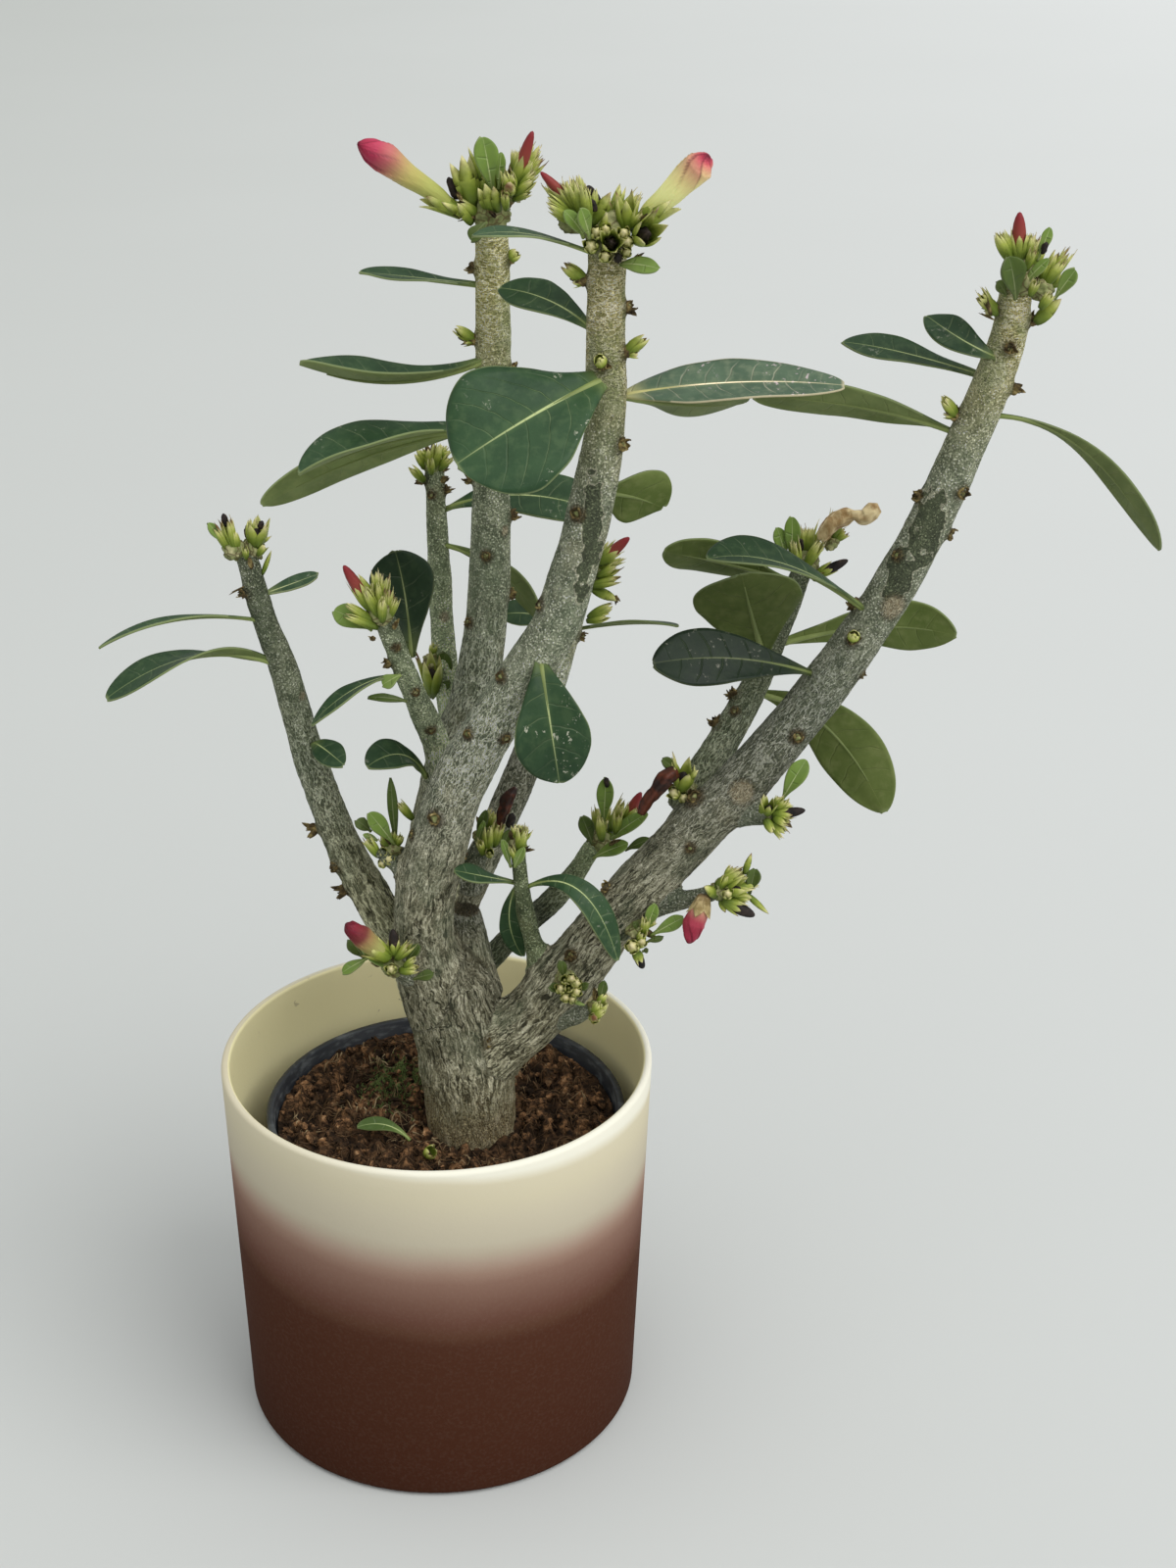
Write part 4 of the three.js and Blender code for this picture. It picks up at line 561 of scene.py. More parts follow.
class Finish:
    """A procedural material and short calls that add nodes to it."""

    def __init__(self, name, roughness, specular):
        self.material = bpy.data.materials.new(name)
        self.material.use_nodes = True
        self.tree = self.material.node_tree
        self.shader = self.tree.nodes["Principled BSDF"]
        self.shader.inputs["Roughness"].default_value = roughness
        self.shader.inputs["Specular IOR Level"].default_value = specular

    def feed(self, socket, value):
        if isinstance(value, bpy.types.NodeSocket):
            self.tree.links.new(value, socket)
        else:
            socket.default_value = value

    def node(self, kind, **settings):
        made = self.tree.nodes.new(kind)
        for name, value in settings.items():
            setattr(made, name, value)
        return made

    def place(self):
        return self.node("ShaderNodeTexCoord").outputs["Object"]

    def attribute(self, name, output="Fac"):
        return self.node("ShaderNodeAttribute", attribute_name=name).outputs[output]

    def stretched(self, vector, scale):
        """The vector with each axis multiplied."""
        made = self.node("ShaderNodeVectorMath", operation="MULTIPLY")
        self.feed(made.inputs[0], vector)
        self.feed(made.inputs[1], scale)
        return made.outputs[0]

    def warped(self, vector, scale, amount):
        """The vector pushed about by a noise of the given scale."""
        wander = self.node("ShaderNodeTexNoise")
        self.feed(wander.inputs["Vector"], vector)
        wander.inputs["Scale"].default_value = scale
        wander.inputs["Detail"].default_value = 2
        pushed = self.node("ShaderNodeVectorMath", operation="MULTIPLY_ADD")
        self.feed(pushed.inputs[0], wander.outputs["Color"])
        pushed.inputs[1].default_value = (amount, amount, amount)
        self.feed(pushed.inputs[2], vector)
        return pushed.outputs[0]

    def speckle(self, vector, scale, detail=3, roughness=0.55):
        made = self.node("ShaderNodeTexNoise")
        self.feed(made.inputs["Vector"], vector)
        made.inputs["Scale"].default_value = scale
        made.inputs["Detail"].default_value = detail
        made.inputs["Roughness"].default_value = roughness
        return made.outputs["Fac"]

    def cells(self, vector, scale, feature="DISTANCE_TO_EDGE"):
        made = self.node("ShaderNodeTexVoronoi", feature=feature)
        self.feed(made.inputs["Vector"], vector)
        made.inputs["Scale"].default_value = scale
        return made.outputs["Distance"]

    def ridges(self, vector, width):
        """Winding lines that part and meet: 1 along them, 0 in the gaps between them."""
        level = self.maths("SUBTRACT", self.speckle(vector, 1, detail=1, roughness=0.4), 0.5)
        return self.span(self.maths("ABSOLUTE", level), 0.012, width, 1.0, 0.0)

    def parts(self, vector):
        made = self.node("ShaderNodeSeparateXYZ")
        self.feed(made.inputs[0], vector)
        return made.outputs

    def maths(self, operation, first, second=0.0):
        made = self.node("ShaderNodeMath", operation=operation)
        self.feed(made.inputs[0], first)
        self.feed(made.inputs[1], second)
        return made.outputs[0]

    def plus_scaled(self, base, value, factor):
        """base + value * factor"""
        made = self.node("ShaderNodeMath", operation="MULTIPLY_ADD")
        self.feed(made.inputs[0], value)
        self.feed(made.inputs[1], factor)
        self.feed(made.inputs[2], base)
        return made.outputs[0]

    def span(self, value, low, high, to_low=0.0, to_high=1.0):
        """The value eased from low..high to to_low..to_high."""
        made = self.node("ShaderNodeMapRange", interpolation_type="SMOOTHSTEP")
        self.feed(made.inputs["Value"], value)
        made.inputs["From Min"].default_value = low
        made.inputs["From Max"].default_value = high
        made.inputs["To Min"].default_value = to_low
        made.inputs["To Max"].default_value = to_high
        return made.outputs["Result"]

    def ramp(self, value, stops):
        """Colours (red, green, blue) of 0..255 at places of 0..1, read off by the value."""
        made = self.node("ShaderNodeValToRGB")
        elements = made.color_ramp.elements
        while len(elements) < len(stops):
            elements.new(0.5)
        for element, (position, colour) in zip(elements, stops):
            element.position = position
            element.color = tint(*colour)
        self.feed(made.inputs["Fac"], value)
        return made.outputs["Color"]

    def blend(self, share, first, second, mode="MIX"):
        """The first colour going over into the second by the share; a plain one is 0..255."""
        made = self.node("ShaderNodeMix", data_type="RGBA", blend_type=mode)
        self.feed(made.inputs[0], share)
        for socket, colour in ((made.inputs[6], first), (made.inputs[7], second)):
            self.feed(socket, tint(*colour) if isinstance(colour, tuple) else colour)
        return made.outputs[2]

    def relief(self, height, depth, normal=None):
        """A bump of the given depth in metres."""
        made = self.node("ShaderNodeBump")
        made.inputs["Distance"].default_value = depth
        self.feed(made.inputs["Height"], height)
        if normal is not None:
            self.feed(made.inputs["Normal"], normal)
        return made.outputs["Normal"]

    def bumped(self, height, depth):
        """The finished material, with a bump of the given depth in metres."""
        self.normal(self.relief(height, depth))
        return self.material

    def colour(self, value):
        self.feed(self.shader.inputs["Base Color"], value)

    def roughness(self, value):
        self.feed(self.shader.inputs["Roughness"], value)

    def normal(self, value):
        self.feed(self.shader.inputs["Normal"], value)


# The cachepot's sprayed colour by height in millimetres; the last, palest stop at the lip is painted highlight
# where light catches the rim.
CACHEPOT_BANDS = [
    (0, (60, 27, 12)), (20, (65, 31, 16)), (52, (71, 37, 22)), (62, (75, 41, 27)), (66, (88, 56, 41)),
    (71, (100, 66, 54)), (78, (117, 85, 72)), (86, (136, 105, 91)), (90, (154, 126, 110)),
    (94, (172, 151, 134)), (98, (185, 173, 152)), (101, (193, 184, 162)), (109, (202, 193, 169)),
    # The stop at 126.6 mm paints the lip's highlight.
    (117, (211, 202, 174)), (123, (216, 207, 179)), (126.6, (240, 237, 220)),
]


def cachepot_finish():
    """Matt lacquer, sprayed from cream at the rim through mauve to red-brown below."""
    finish = Finish("cachepot_two_tone", roughness=0.75, specular=0.03)
    place = finish.place()
    across, _, height = finish.parts(place)
    wander = finish.maths("SUBTRACT", finish.speckle(place, 22, detail=2), 0.5)
    level = finish.plus_scaled(finish.plus_scaled(height, wander, 0.004), across, 0.07)
    share = finish.maths("DIVIDE", level, CACHEPOT_HEIGHT * MM)
    coat = finish.ramp(share, [(at / CACHEPOT_HEIGHT, shade) for at, shade in CACHEPOT_BANDS])
    grain = finish.speckle(place, 900, detail=1)
    coat = finish.blend(finish.span(grain, 0.4, 0.8, 0.009, 0.02), coat, (240, 232, 214))
    lining = finish.blend(finish.span(height, 0.03, 0.1), (224, 192, 138), (251, 242, 192))
    dirt = finish.speckle(finish.warped(place, 60, 0.01), 210, detail=3, roughness=0.6)
    stained = finish.span(finish.speckle(place, 25), 0.5, 0.62)
    soiled = finish.maths("MULTIPLY", finish.span(dirt, 0.66, 0.7), stained)
    lining = finish.blend(finish.maths("MULTIPLY", soiled, 0.75), lining, (96, 68, 40))
    coat = finish.blend(finish.attribute("lining"), coat, lining)
    finish.colour(coat)
    return finish.bumped(grain, 0.00004)


def nursery_finish():
    """Thin black injection-moulded plastic, scuffed grey."""
    finish = Finish("nursery_plastic", roughness=0.45, specular=0.4)
    place = finish.place()
    scuff = finish.speckle(finish.stretched(place, (1, 1, 3)), 160, detail=4)
    finish.colour(finish.blend(finish.span(scuff, 0.45, 0.75), (38, 42, 48), (92, 96, 98)))
    finish.roughness(finish.span(scuff, 0.3, 0.7, 0.38, 0.62))
    return finish.bumped(scuff, 0.00005)


# The bark's cracks, splits, waves, dashes and wrinkles: their scale round the limb and along it, and width.
BARK_LINES = [
    (0.36, 0.045, 0.026), (0.7, 0.1, 0.045), (0.9, 0.12, 0.12), (1.05, 0.27, 0.1), (0.42, 1.35, 0.11),
]


def bark_finish():
    """Grey-green bark: winding cracks on old wood, then pale dashes, pebbles, and wrinkles on tan tips."""
    finish = Finish("bark", roughness=0.75, specular=0.2)
    grain = finish.attribute("grain", "Vector")
    age = finish.attribute("age")
    height = finish.parts(finish.place())[2]
    bent = finish.warped(finish.warped(grain, 0.2, 2.4), 0.6, 0.9)
    cracks, splits, waves, dashes, wrinkles = (
        finish.ridges(finish.stretched(bent, (around, around, along)), width)
        for around, along, width in BARK_LINES)
    pebbles = finish.span(finish.cells(finish.warped(grain, 0.5, 0.6), 1.1, "F1"), 0.12, 0.5, 1.0, 0.0)
    flecks = finish.speckle(finish.stretched(grain, (2.2, 2.2, 1.4)), 1, detail=3, roughness=0.6)
    broad = finish.speckle(finish.stretched(grain, (1, 1, 0.6)), 0.09, detail=3)
    patchy = finish.span(flecks, 0.3, 0.7)
    worn = finish.plus_scaled(finish.attribute("worn"), finish.maths("SUBTRACT", flecks, 0.5), 0.4)
    old = finish.plus_scaled(finish.plus_scaled(0.23, patchy, 0.24), waves, 0.38)
    old = finish.plus_scaled(finish.plus_scaled(old, cracks, -0.4), splits, -0.16)
    # Painted shade: the crease by the stub is darkened.
    old = finish.plus_scaled(old, finish.attribute("crease"), -0.24)
    middling = finish.plus_scaled(finish.plus_scaled(0.08, patchy, 0.5), dashes, 0.62)
    young = finish.plus_scaled(finish.plus_scaled(0.09, patchy, 0.4), pebbles, 0.64)
    newest = finish.plus_scaled(finish.plus_scaled(0.11, patchy, 0.45), wrinkles, 0.6)
    lines = finish.blend(finish.span(age, 0.08, 0.4), young, middling)
    lines = finish.blend(finish.span(age, 0.5, 0.85), lines, old)
    lines = finish.blend(finish.span(height, 0.345, 0.365), lines, newest)
    blotches = finish.speckle(finish.stretched(grain, (1, 1, 0.7)), 0.3, detail=2)
    lines = finish.plus_scaled(lines, finish.span(blotches, 0.3, 0.7, -0.5, 0.5), 0.3)
    warm = finish.ramp(lines, [
        (0.05, (69, 67, 51)), (0.3, (124, 121, 97)), (0.55, (172, 168, 140)), (0.95, (234, 229, 201))])
    cool = finish.ramp(lines, [
        (0.05, (94, 102, 82)), (0.3, (138, 144, 119)), (0.55, (178, 181, 155)), (0.95, (240, 241, 222))])
    tan = finish.ramp(lines, [
        (0.05, (124, 120, 72)), (0.3, (164, 158, 102)), (0.6, (204, 194, 144)), (1.0, (246, 238, 202))])
    skin = finish.blend(finish.span(age, 0.3, 0.9), cool, warm)
    skin = finish.blend(finish.span(broad, 0.46, 0.66, 0.0, 0.3), skin, (112, 126, 100))
    skin = finish.blend(finish.span(broad, 0.28, 0.42, 0.25, 0.0), skin, (184, 174, 138))
    tan = finish.blend(finish.span(broad, 0.45, 0.6, 0.0, 0.5), tan, (138, 150, 102))
    skin = finish.blend(finish.span(height, 0.32, 0.375), skin, tan)
    foot = finish.span(height, 0.104, 0.13, 0.75, 0.0)
    earthy = finish.ramp(flecks, [(0.3, (68, 56, 38)), (0.5, (124, 108, 78)), (0.7, (192, 174, 132))])
    skin = finish.blend(foot, skin, earthy)
    bare = finish.ramp(lines, [(0.1, (46, 56, 38)), (0.5, (76, 88, 60)), (0.95, (130, 138, 104))])
    skin = finish.blend(finish.span(worn, 0.1, 0.3, 0.0, 0.55), skin, (206, 200, 176))
    skin = finish.blend(finish.span(worn, 0.32, 0.5, 0.0, 0.9), skin, bare)
    # The tone attribute multiplies in each limb's colour together with its painted shade and painted light.
    skin = finish.blend(1.0, skin, finish.attribute("tone", "Color"), "MULTIPLY")
    healed = finish.blend(patchy, (150, 134, 100), (230, 218, 184))
    skin = finish.blend(finish.attribute("healed"), skin, healed)
    # The scar attribute also holds a little painted shade along the stub's crease.
    rusty = finish.blend(patchy, (50, 42, 28), (118, 100, 64))
    skin = finish.blend(finish.attribute("scar"), skin, rusty)
    finish.colour(skin)
    rough = finish.relief(lines, 0.0009)
    finish.normal(finish.relief(flecks, 0.0004, rough))
    return finish.material


def leaf_finish(name, upper, under, dust):
    """A leathery blade: veins, a pale margin, mineral flecks, and a duller olive underside."""
    finish = Finish(name, roughness=0.46, specular=0.2)
    flat = finish.attribute("flat", "Vector")
    across, along, below = finish.parts(flat)
    edge = finish.attribute("edge")
    place = finish.place()
    sideways = finish.maths("ABSOLUTE", across)
    reach = finish.maths("MULTIPLY", sideways, finish.plus_scaled(0.2, sideways, 0.036))
    wobble = finish.speckle(place, 110, detail=2)
    swept = finish.plus_scaled(finish.maths("SUBTRACT", along, reach), wobble, 3.2)
    step = finish.maths("DIVIDE", finish.plus_scaled(swept, finish.maths("SIGN", across), 1.5), 6.6)
    offset = finish.maths("SUBTRACT", finish.maths("FRACT", step), 0.5)
    vein = finish.span(finish.maths("ABSOLUTE", offset), 0.0, 0.06, 1.0, 0.0)
    vein = finish.maths("MULTIPLY", vein, finish.span(edge, 0.6, 1.0, 1.0, 0.0))
    ribs = finish.maths("DIVIDE", sideways, finish.attribute("rib"))
    rib = finish.maths("MULTIPLY", finish.span(ribs, 0.4, 1.1, 1.0, 0.0), finish.attribute("fading"))
    halo = finish.span(ribs, 0.8, 5.0, 0.32, 0.0)
    cloud = finish.speckle(place, 70, detail=4, roughness=0.6)
    mottle = finish.speckle(place, 320, detail=3)
    skin = finish.blend(finish.span(cloud, 0.15, 0.85), upper[0], upper[1])
    back = finish.blend(finish.span(cloud, 0.32, 0.7), under[0], under[1])
    skin = finish.blend(finish.span(mottle, 0.45, 0.7, 0.0, 0.22), skin, (96, 118, 78))
    back = finish.blend(finish.span(mottle, 0.45, 0.7, 0.0, 0.25), back, (138, 144, 92))
    skin = finish.blend(finish.maths("MULTIPLY", halo, 0.5), skin, (98, 122, 70))
    pale_vein = finish.maths("MULTIPLY", vein, finish.span(wobble, 0.35, 0.65, 0.1, 0.3))
    skin = finish.blend(pale_vein, skin, (150, 168, 122))
    back = finish.blend(finish.maths("MULTIPLY", vein, 0.1), back, (150, 158, 106))
    skin = finish.blend(rib, skin, (186, 198, 138))
    back = finish.blend(finish.maths("MULTIPLY", rib, 0.5), back, (150, 156, 94))
    flecks = finish.speckle(finish.warped(place, 60, 0.01), 420, detail=4, roughness=0.7)
    flecks = finish.span(flecks, 0.6, 0.66, 0.0, dust)
    islands = finish.span(finish.speckle(place, 55, detail=1), 0.5, 0.6)
    skin = finish.blend(finish.maths("MULTIPLY", flecks, islands), skin, (206, 206, 184))
    blade = finish.blend(below, skin, back)
    blade = finish.blend(finish.span(along, 1.0, 9.0, 0.6, 0.0), blade, (132, 148, 84))
    blade = finish.blend(finish.span(edge, 0.97, 1.0, 0.0, 0.5), blade, (150, 162, 112))
    # The tone attribute multiplies in each leaf's painted shade, painted light and painted sheen.
    finish.colour(finish.blend(1.0, blade, finish.attribute("tone", "Color"), "MULTIPLY"))
    finish.roughness(finish.span(finish.maths("ADD", below, cloud), 0.3, 1.4, 0.42, 0.66))
    swell = finish.maths("ADD", finish.maths("MULTIPLY", vein, -0.6), finish.maths("MULTIPLY", cloud, 0.8))
    return finish.bumped(finish.plus_scaled(swell, mottle, 0.4), 0.0003)


def rib_finish():
    """The rib under a blade: pale yellow-green at the stalk, the blade's own olive further out."""
    finish = Finish("leaf_stalk", roughness=0.5, specular=0.3)
    cloud = finish.speckle(finish.place(), 180, detail=3)
    stalk = finish.blend(cloud, (118, 136, 68), (158, 168, 104))
    out = finish.blend(cloud, (102, 116, 62), (124, 136, 80))
    mixed = finish.blend(finish.span(finish.attribute("edge"), 0.1, 0.4), stalk, out)
    # The rib takes part of its blade's tone, with its painted shade and painted light.
    finish.colour(finish.blend(0.6, mixed, finish.attribute("tone", "Color"), "MULTIPLY"))
    return finish.bumped(cloud, 0.0001)


def sepal_finish(name="sepals", wilted=0.0):
    """Yellow-green sepals and tiny buds with pale ragged tips, some of them brown."""
    finish = Finish(name, roughness=0.55, specular=0.3)
    shade = finish.attribute("shade")
    place = finish.place()
    cloud = finish.speckle(place, 420, detail=3)
    broad = finish.speckle(place, 110, detail=1)
    body = finish.ramp(shade, [
        (0.0, (80, 98, 34)), (0.35, (114, 132, 42)), (0.62, (158, 168, 72)),
        (0.85, (208, 206, 134)), (1.0, (224, 212, 164))])
    body = finish.blend(finish.span(cloud, 0.42, 0.72, 0.0, 0.4), body, (92, 112, 38))
    brown = finish.maths("MULTIPLY", finish.span(broad, 0.54, 0.68), finish.span(shade, 0.72, 0.98))
    body = finish.blend(brown, body, (112, 72, 44))
    papery = finish.blend(finish.span(cloud, 0.35, 0.65), (138, 108, 76), (206, 180, 136))
    finish.colour(finish.blend(wilted, body, papery))
    finish.shader.inputs["Subsurface Weight"].default_value = 0.06
    finish.shader.inputs["Subsurface Radius"].default_value = (0.0015, 0.0015, 0.0006)
    return finish.bumped(cloud, 0.00025)


# Simple mottled materials: roughness, specular, scale and detail of the mottling, relief, colours.
MOTTLED = {
    "dried_scales": (0.85, 0.2, 420, 4, 0.0003, [
        (0.3, (44, 36, 24)), (0.5, (92, 78, 50)), (0.62, (138, 122, 76)), (0.78, (190, 172, 122))]),
    # Blackened parts: shrivelled flowers and dark buds, and the painted shade inside open cups.
    "blackened_parts_and_cup_shade": (0.7, 0.3, 380, 4, 0.0004, [
        (0.35, (18, 15, 13)), (0.6, (48, 38, 34)), (0.8, (96, 76, 62))]),
    "coir_fibres": (0.85, 0.2, 45, 2, 0.0001, [
        (0.35, (60, 44, 31)), (0.52, (106, 82, 57)), (0.66, (190, 170, 132))]),
}


def mottled_finish(name):
    roughness, specular, scale, detail, depth, stops = MOTTLED[name]
    finish = Finish(name, roughness, specular)
    cloud = finish.speckle(finish.place(), scale, detail)
    finish.colour(finish.ramp(cloud, stops))
    return finish.bumped(cloud, depth)


def stump_finish():
    """The knobbly end of a shoot: pale green skin with scars and dry beige flakes."""
    finish = Finish("shoot_end", roughness=0.75, specular=0.25)
    place = finish.place()
    cloud = finish.speckle(place, 260, detail=4)
    scars = finish.cells(finish.warped(place, 90, 0.004), 300)
    body = finish.ramp(cloud, [(0.3, (92, 98, 56)), (0.5, (138, 144, 92)), (0.72, (190, 184, 140))])
    body = finish.blend(finish.span(scars, 0.02, 0.1, 0.7, 0.0), body, (88, 70, 44))
    finish.colour(body)
    return finish.bumped(cloud, 0.0005)


def withered_finish(name, low, high):
    """Petals of a spent flower, wrinkled along their length."""
    finish = Finish(name, roughness=0.5, specular=0.35)
    place = finish.place()
    streak = finish.speckle(finish.warped(place, 120, 0.006), 260, detail=4)
    finish.colour(finish.blend(finish.span(streak, 0.35, 0.7), low, high))
    return finish.bumped(streak, 0.0006)


def petal_finish(name="furled_petals", toned=False):
    """Furled petals with a dark line along each lap; toned ones take their colours from the mesh."""
    finish = Finish(name, roughness=0.5, specular=0.25)
    shade = finish.attribute("shade")
    drawn_out = finish.stretched(finish.attribute("grain", "Vector"), (1.4, 1.4, 0.12))
    streak = finish.speckle(drawn_out, 1.4, detail=3)
    if toned:
        body = finish.attribute("tone", "Color")
    else:
        body = finish.ramp(shade, [(0.35, (150, 138, 76)), (0.6, (150, 74, 60)), (1.0, (138, 34, 46))])
    body = finish.blend(1.0, body, finish.blend(streak, (234, 234, 224), (255, 255, 255)), "MULTIPLY")
    edges = finish.maths("MULTIPLY", finish.attribute("lap"), finish.span(shade, 0.45, 0.7, 0.0, 0.85))
    finish.colour(finish.blend(edges, body, (96, 12, 36)))
    finish.shader.inputs["Subsurface Weight"].default_value = 0.08
    finish.shader.inputs["Subsurface Radius"].default_value = (0.003, 0.0012, 0.001)
    finish.normal(finish.relief(streak, 0.0003))
    finish.roughness(finish.span(finish.speckle(finish.place(), 300), 0.3, 0.7, 0.42, 0.58))
    return finish.material


def soil_finish():
    """Damp coir: dark brown crumb with redder and paler specks, and painted shade in its hollows."""
    finish = Finish("coir", roughness=0.95, specular=0.15)
    place = finish.place()
    crumb = finish.speckle(place, 330, detail=5, roughness=0.7)
    broad = finish.speckle(place, 120, detail=2)
    body = finish.ramp(crumb, [
        (0.36, (20, 15, 11)), (0.48, (84, 62, 43)), (0.6, (150, 111, 76)), (0.75, (222, 190, 148))])
    body = finish.blend(finish.span(broad, 0.46, 0.58, 0.0, 0.75), body, (36, 27, 19))
    # Painted shade: the soil darkens where its surface dips below the level.
    soil_dip_shade = finish.span(finish.parts(place)[2], (SOIL_LEVEL - 3) * MM, SOIL_LEVEL * MM, 0.75, 0.0)
    body = finish.blend(soil_dip_shade, body, (26, 19, 13))
    finish.colour(body)
    return finish.bumped(crumb, 0.0012)


def moss_finish():
    finish = Finish("moss", roughness=0.8, specular=0.2)
    cloud = finish.speckle(finish.place(), 400, detail=3)
    finish.colour(finish.blend(cloud, (44, 60, 30), (124, 142, 80)))
    return finish.bumped(cloud, 0.0002)


# ---------------------------------------------------------------------------- building helpers

def saved_mesh(name, bm):
    mesh = bpy.data.meshes.new(name)
    bm.to_mesh(mesh)
    bm.free()
    return mesh


def in_scene(name, data):
    made = bpy.data.objects.new(name, data)
    bpy.context.scene.collection.objects.link(made)
    return made


def shares(count):
    """Even shares from 0 to 1."""
    return [step / count for step in range(count + 1)]


def face_outwards(bm):
    bmesh.ops.recalc_face_normals(bm, faces=bm.faces)


def template(name, bm):
    """A mesh with its faces outwards, to be copied into others."""
    face_outwards(bm)
    return saved_mesh(name, bm)


def fresh_verts(bm, first):
    """The vertices added since there were only so many."""
    bm.verts.ensure_lookup_table()
    return bm.verts[first:]


def paint(bm, material, first=0):
    """Gives a material's index to the faces, from the first one named on."""
    bm.faces.ensure_lookup_table()
    for face in bm.faces[first:]:
        face.material_index = material


def piece_from(name, bm, finishes, nodes):
    """A finished piece from a bmesh: smooth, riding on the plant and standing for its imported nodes."""
    return piece_of(name, saved_mesh(name, bm), finishes, nodes)


def piece_of(name, mesh, finishes, nodes):
    for finish in finishes:
        mesh.materials.append(finish)
    mesh.shade_smooth()
    piece = in_scene(name, mesh)
    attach(piece, "root")
    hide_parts(*nodes)
    return piece


def route_point(stops, place):
    """A smooth line through the stops' centres; place runs 0..1, evenly over the stops."""
    spans = len(stops) - 1
    span = min(spans - 1, int(place * spans))
    share = place * spans - span
    points = [Vector(stop[:3]) for stop in stops]
    start, end = points[span], points[span + 1]
    before = points[span - 1] if span > 0 else 2 * points[0] - points[1]
    after = points[span + 2] if span + 2 <= spans else 2 * points[spans] - points[spans - 1]
    gap_in, gap, gap_out = ((p - q).length ** 0.5 for p, q in ((before, start), (start, end), (end, after)))
    leave = ((start - before) / gap_in - (end - before) / (gap_in + gap) + (end - start) / gap) * gap
    arrive = ((end - start) / gap - (after - start) / (gap + gap_out) + (after - end) / gap_out) * gap
    bend = 3 * (end - start) - 2 * leave - arrive
    turn = 2 * (start - end) + leave + arrive
    return start + leave * share + bend * share**2 + turn * share**3


def route_radius(stops, place):
    spans = len(stops) - 1
    span = min(spans - 1, int(place * spans))
    share = place * spans - span
    return stops[span][3] * (1 - share) + stops[span + 1][3] * share


def route_tangent(stops, place):
    step = 0.002
    return (route_point(stops, min(1, place + step)) - route_point(stops, max(0, place - step))).normalized()


def route_frames(stops, count):
    """Matrices along a route, in metres: X and Y carry the radius, Z the direction."""
    frames = []
    across = Vector((1, 0, 0))
    for place in shares(count):
        tangent = route_tangent(stops, place)
        across = (across - across.dot(tangent) * tangent).normalized()
        frames.append(frame_at(route_point(stops, place), tangent, across, route_radius(stops, place)))
    return frames


def frame_at(centre, tangent, across, radius):
    """A matrix in metres from a centre, a direction and a radius in millimetres."""
    up = tangent.cross(across)
    made = Matrix((across * radius * MM, up * radius * MM, tangent * MM)).transposed().to_4x4()
    made.translation = centre * MM
    return made


def route_length(stops):
    points = [route_point(stops, place) for place in shares(40)]
    return sum((q - p).length for p, q in zip(points, points[1:]))


def sweep(bm, frames, sides):
    """A round body drawn out through the frames; returns its vertices, ring by ring."""
    ring = bmesh.ops.create_circle(bm, segments=sides, radius=1, matrix=frames[0])["verts"]
    rings = [ring]
    edges = list({edge for vert in ring for edge in vert.link_edges})
    first = edges
    for before, after in zip(frames, frames[1:]):
        made = bmesh.ops.extrude_edge_only(bm, edges=edges)["geom"]
        ring = [item for item in made if isinstance(item, bmesh.types.BMVert)]
        fresh = set(ring)
        edges = [e for e in made if isinstance(e, bmesh.types.BMEdge) and set(e.verts) <= fresh]
        bmesh.ops.transform(bm, matrix=after @ before.inverted(), verts=ring)
        rings.append(ring)
    bmesh.ops.holes_fill(bm, edges=first + edges, sides=0)
    return rings


def lathe(profile, steps, centre_x=0):
    """A closed body turned about an upright axis from a profile of (radius, height) in millimetres."""
    bm = bmesh.new()
    verts = [bm.verts.new((radius * MM, 0, height * MM)) for radius, height in profile]
    edges = [bm.edges.new(pair) for pair in zip(verts, verts[1:])]
    bmesh.ops.spin(bm, geom=verts + edges, cent=(0, 0, 0), axis=(0, 0, 1), angle=math.tau, steps=steps,
                   use_merge=True)
    bmesh.ops.remove_doubles(bm, verts=bm.verts, dist=0.00001)
    face_outwards(bm)
    bmesh.ops.translate(bm, verts=bm.verts, vec=(centre_x * MM, 0, 0))
    return bm


def add_copy(bm, mesh, matrix):
    """The template mesh added to bm, placed by the matrix."""
    first = len(bm.verts)
    bm.from_mesh(mesh)
    for vert in fresh_verts(bm, first):
        vert.co = matrix @ vert.co


def looking_along(direction, spin=0.0):
    """A turn that takes +Z to the direction."""
    return direction.to_track_quat("Z", "Y").to_matrix().to_4x4() @ Matrix.Rotation(spin, 4, "Z")


# ---------------------------------------------------------------------------- pots

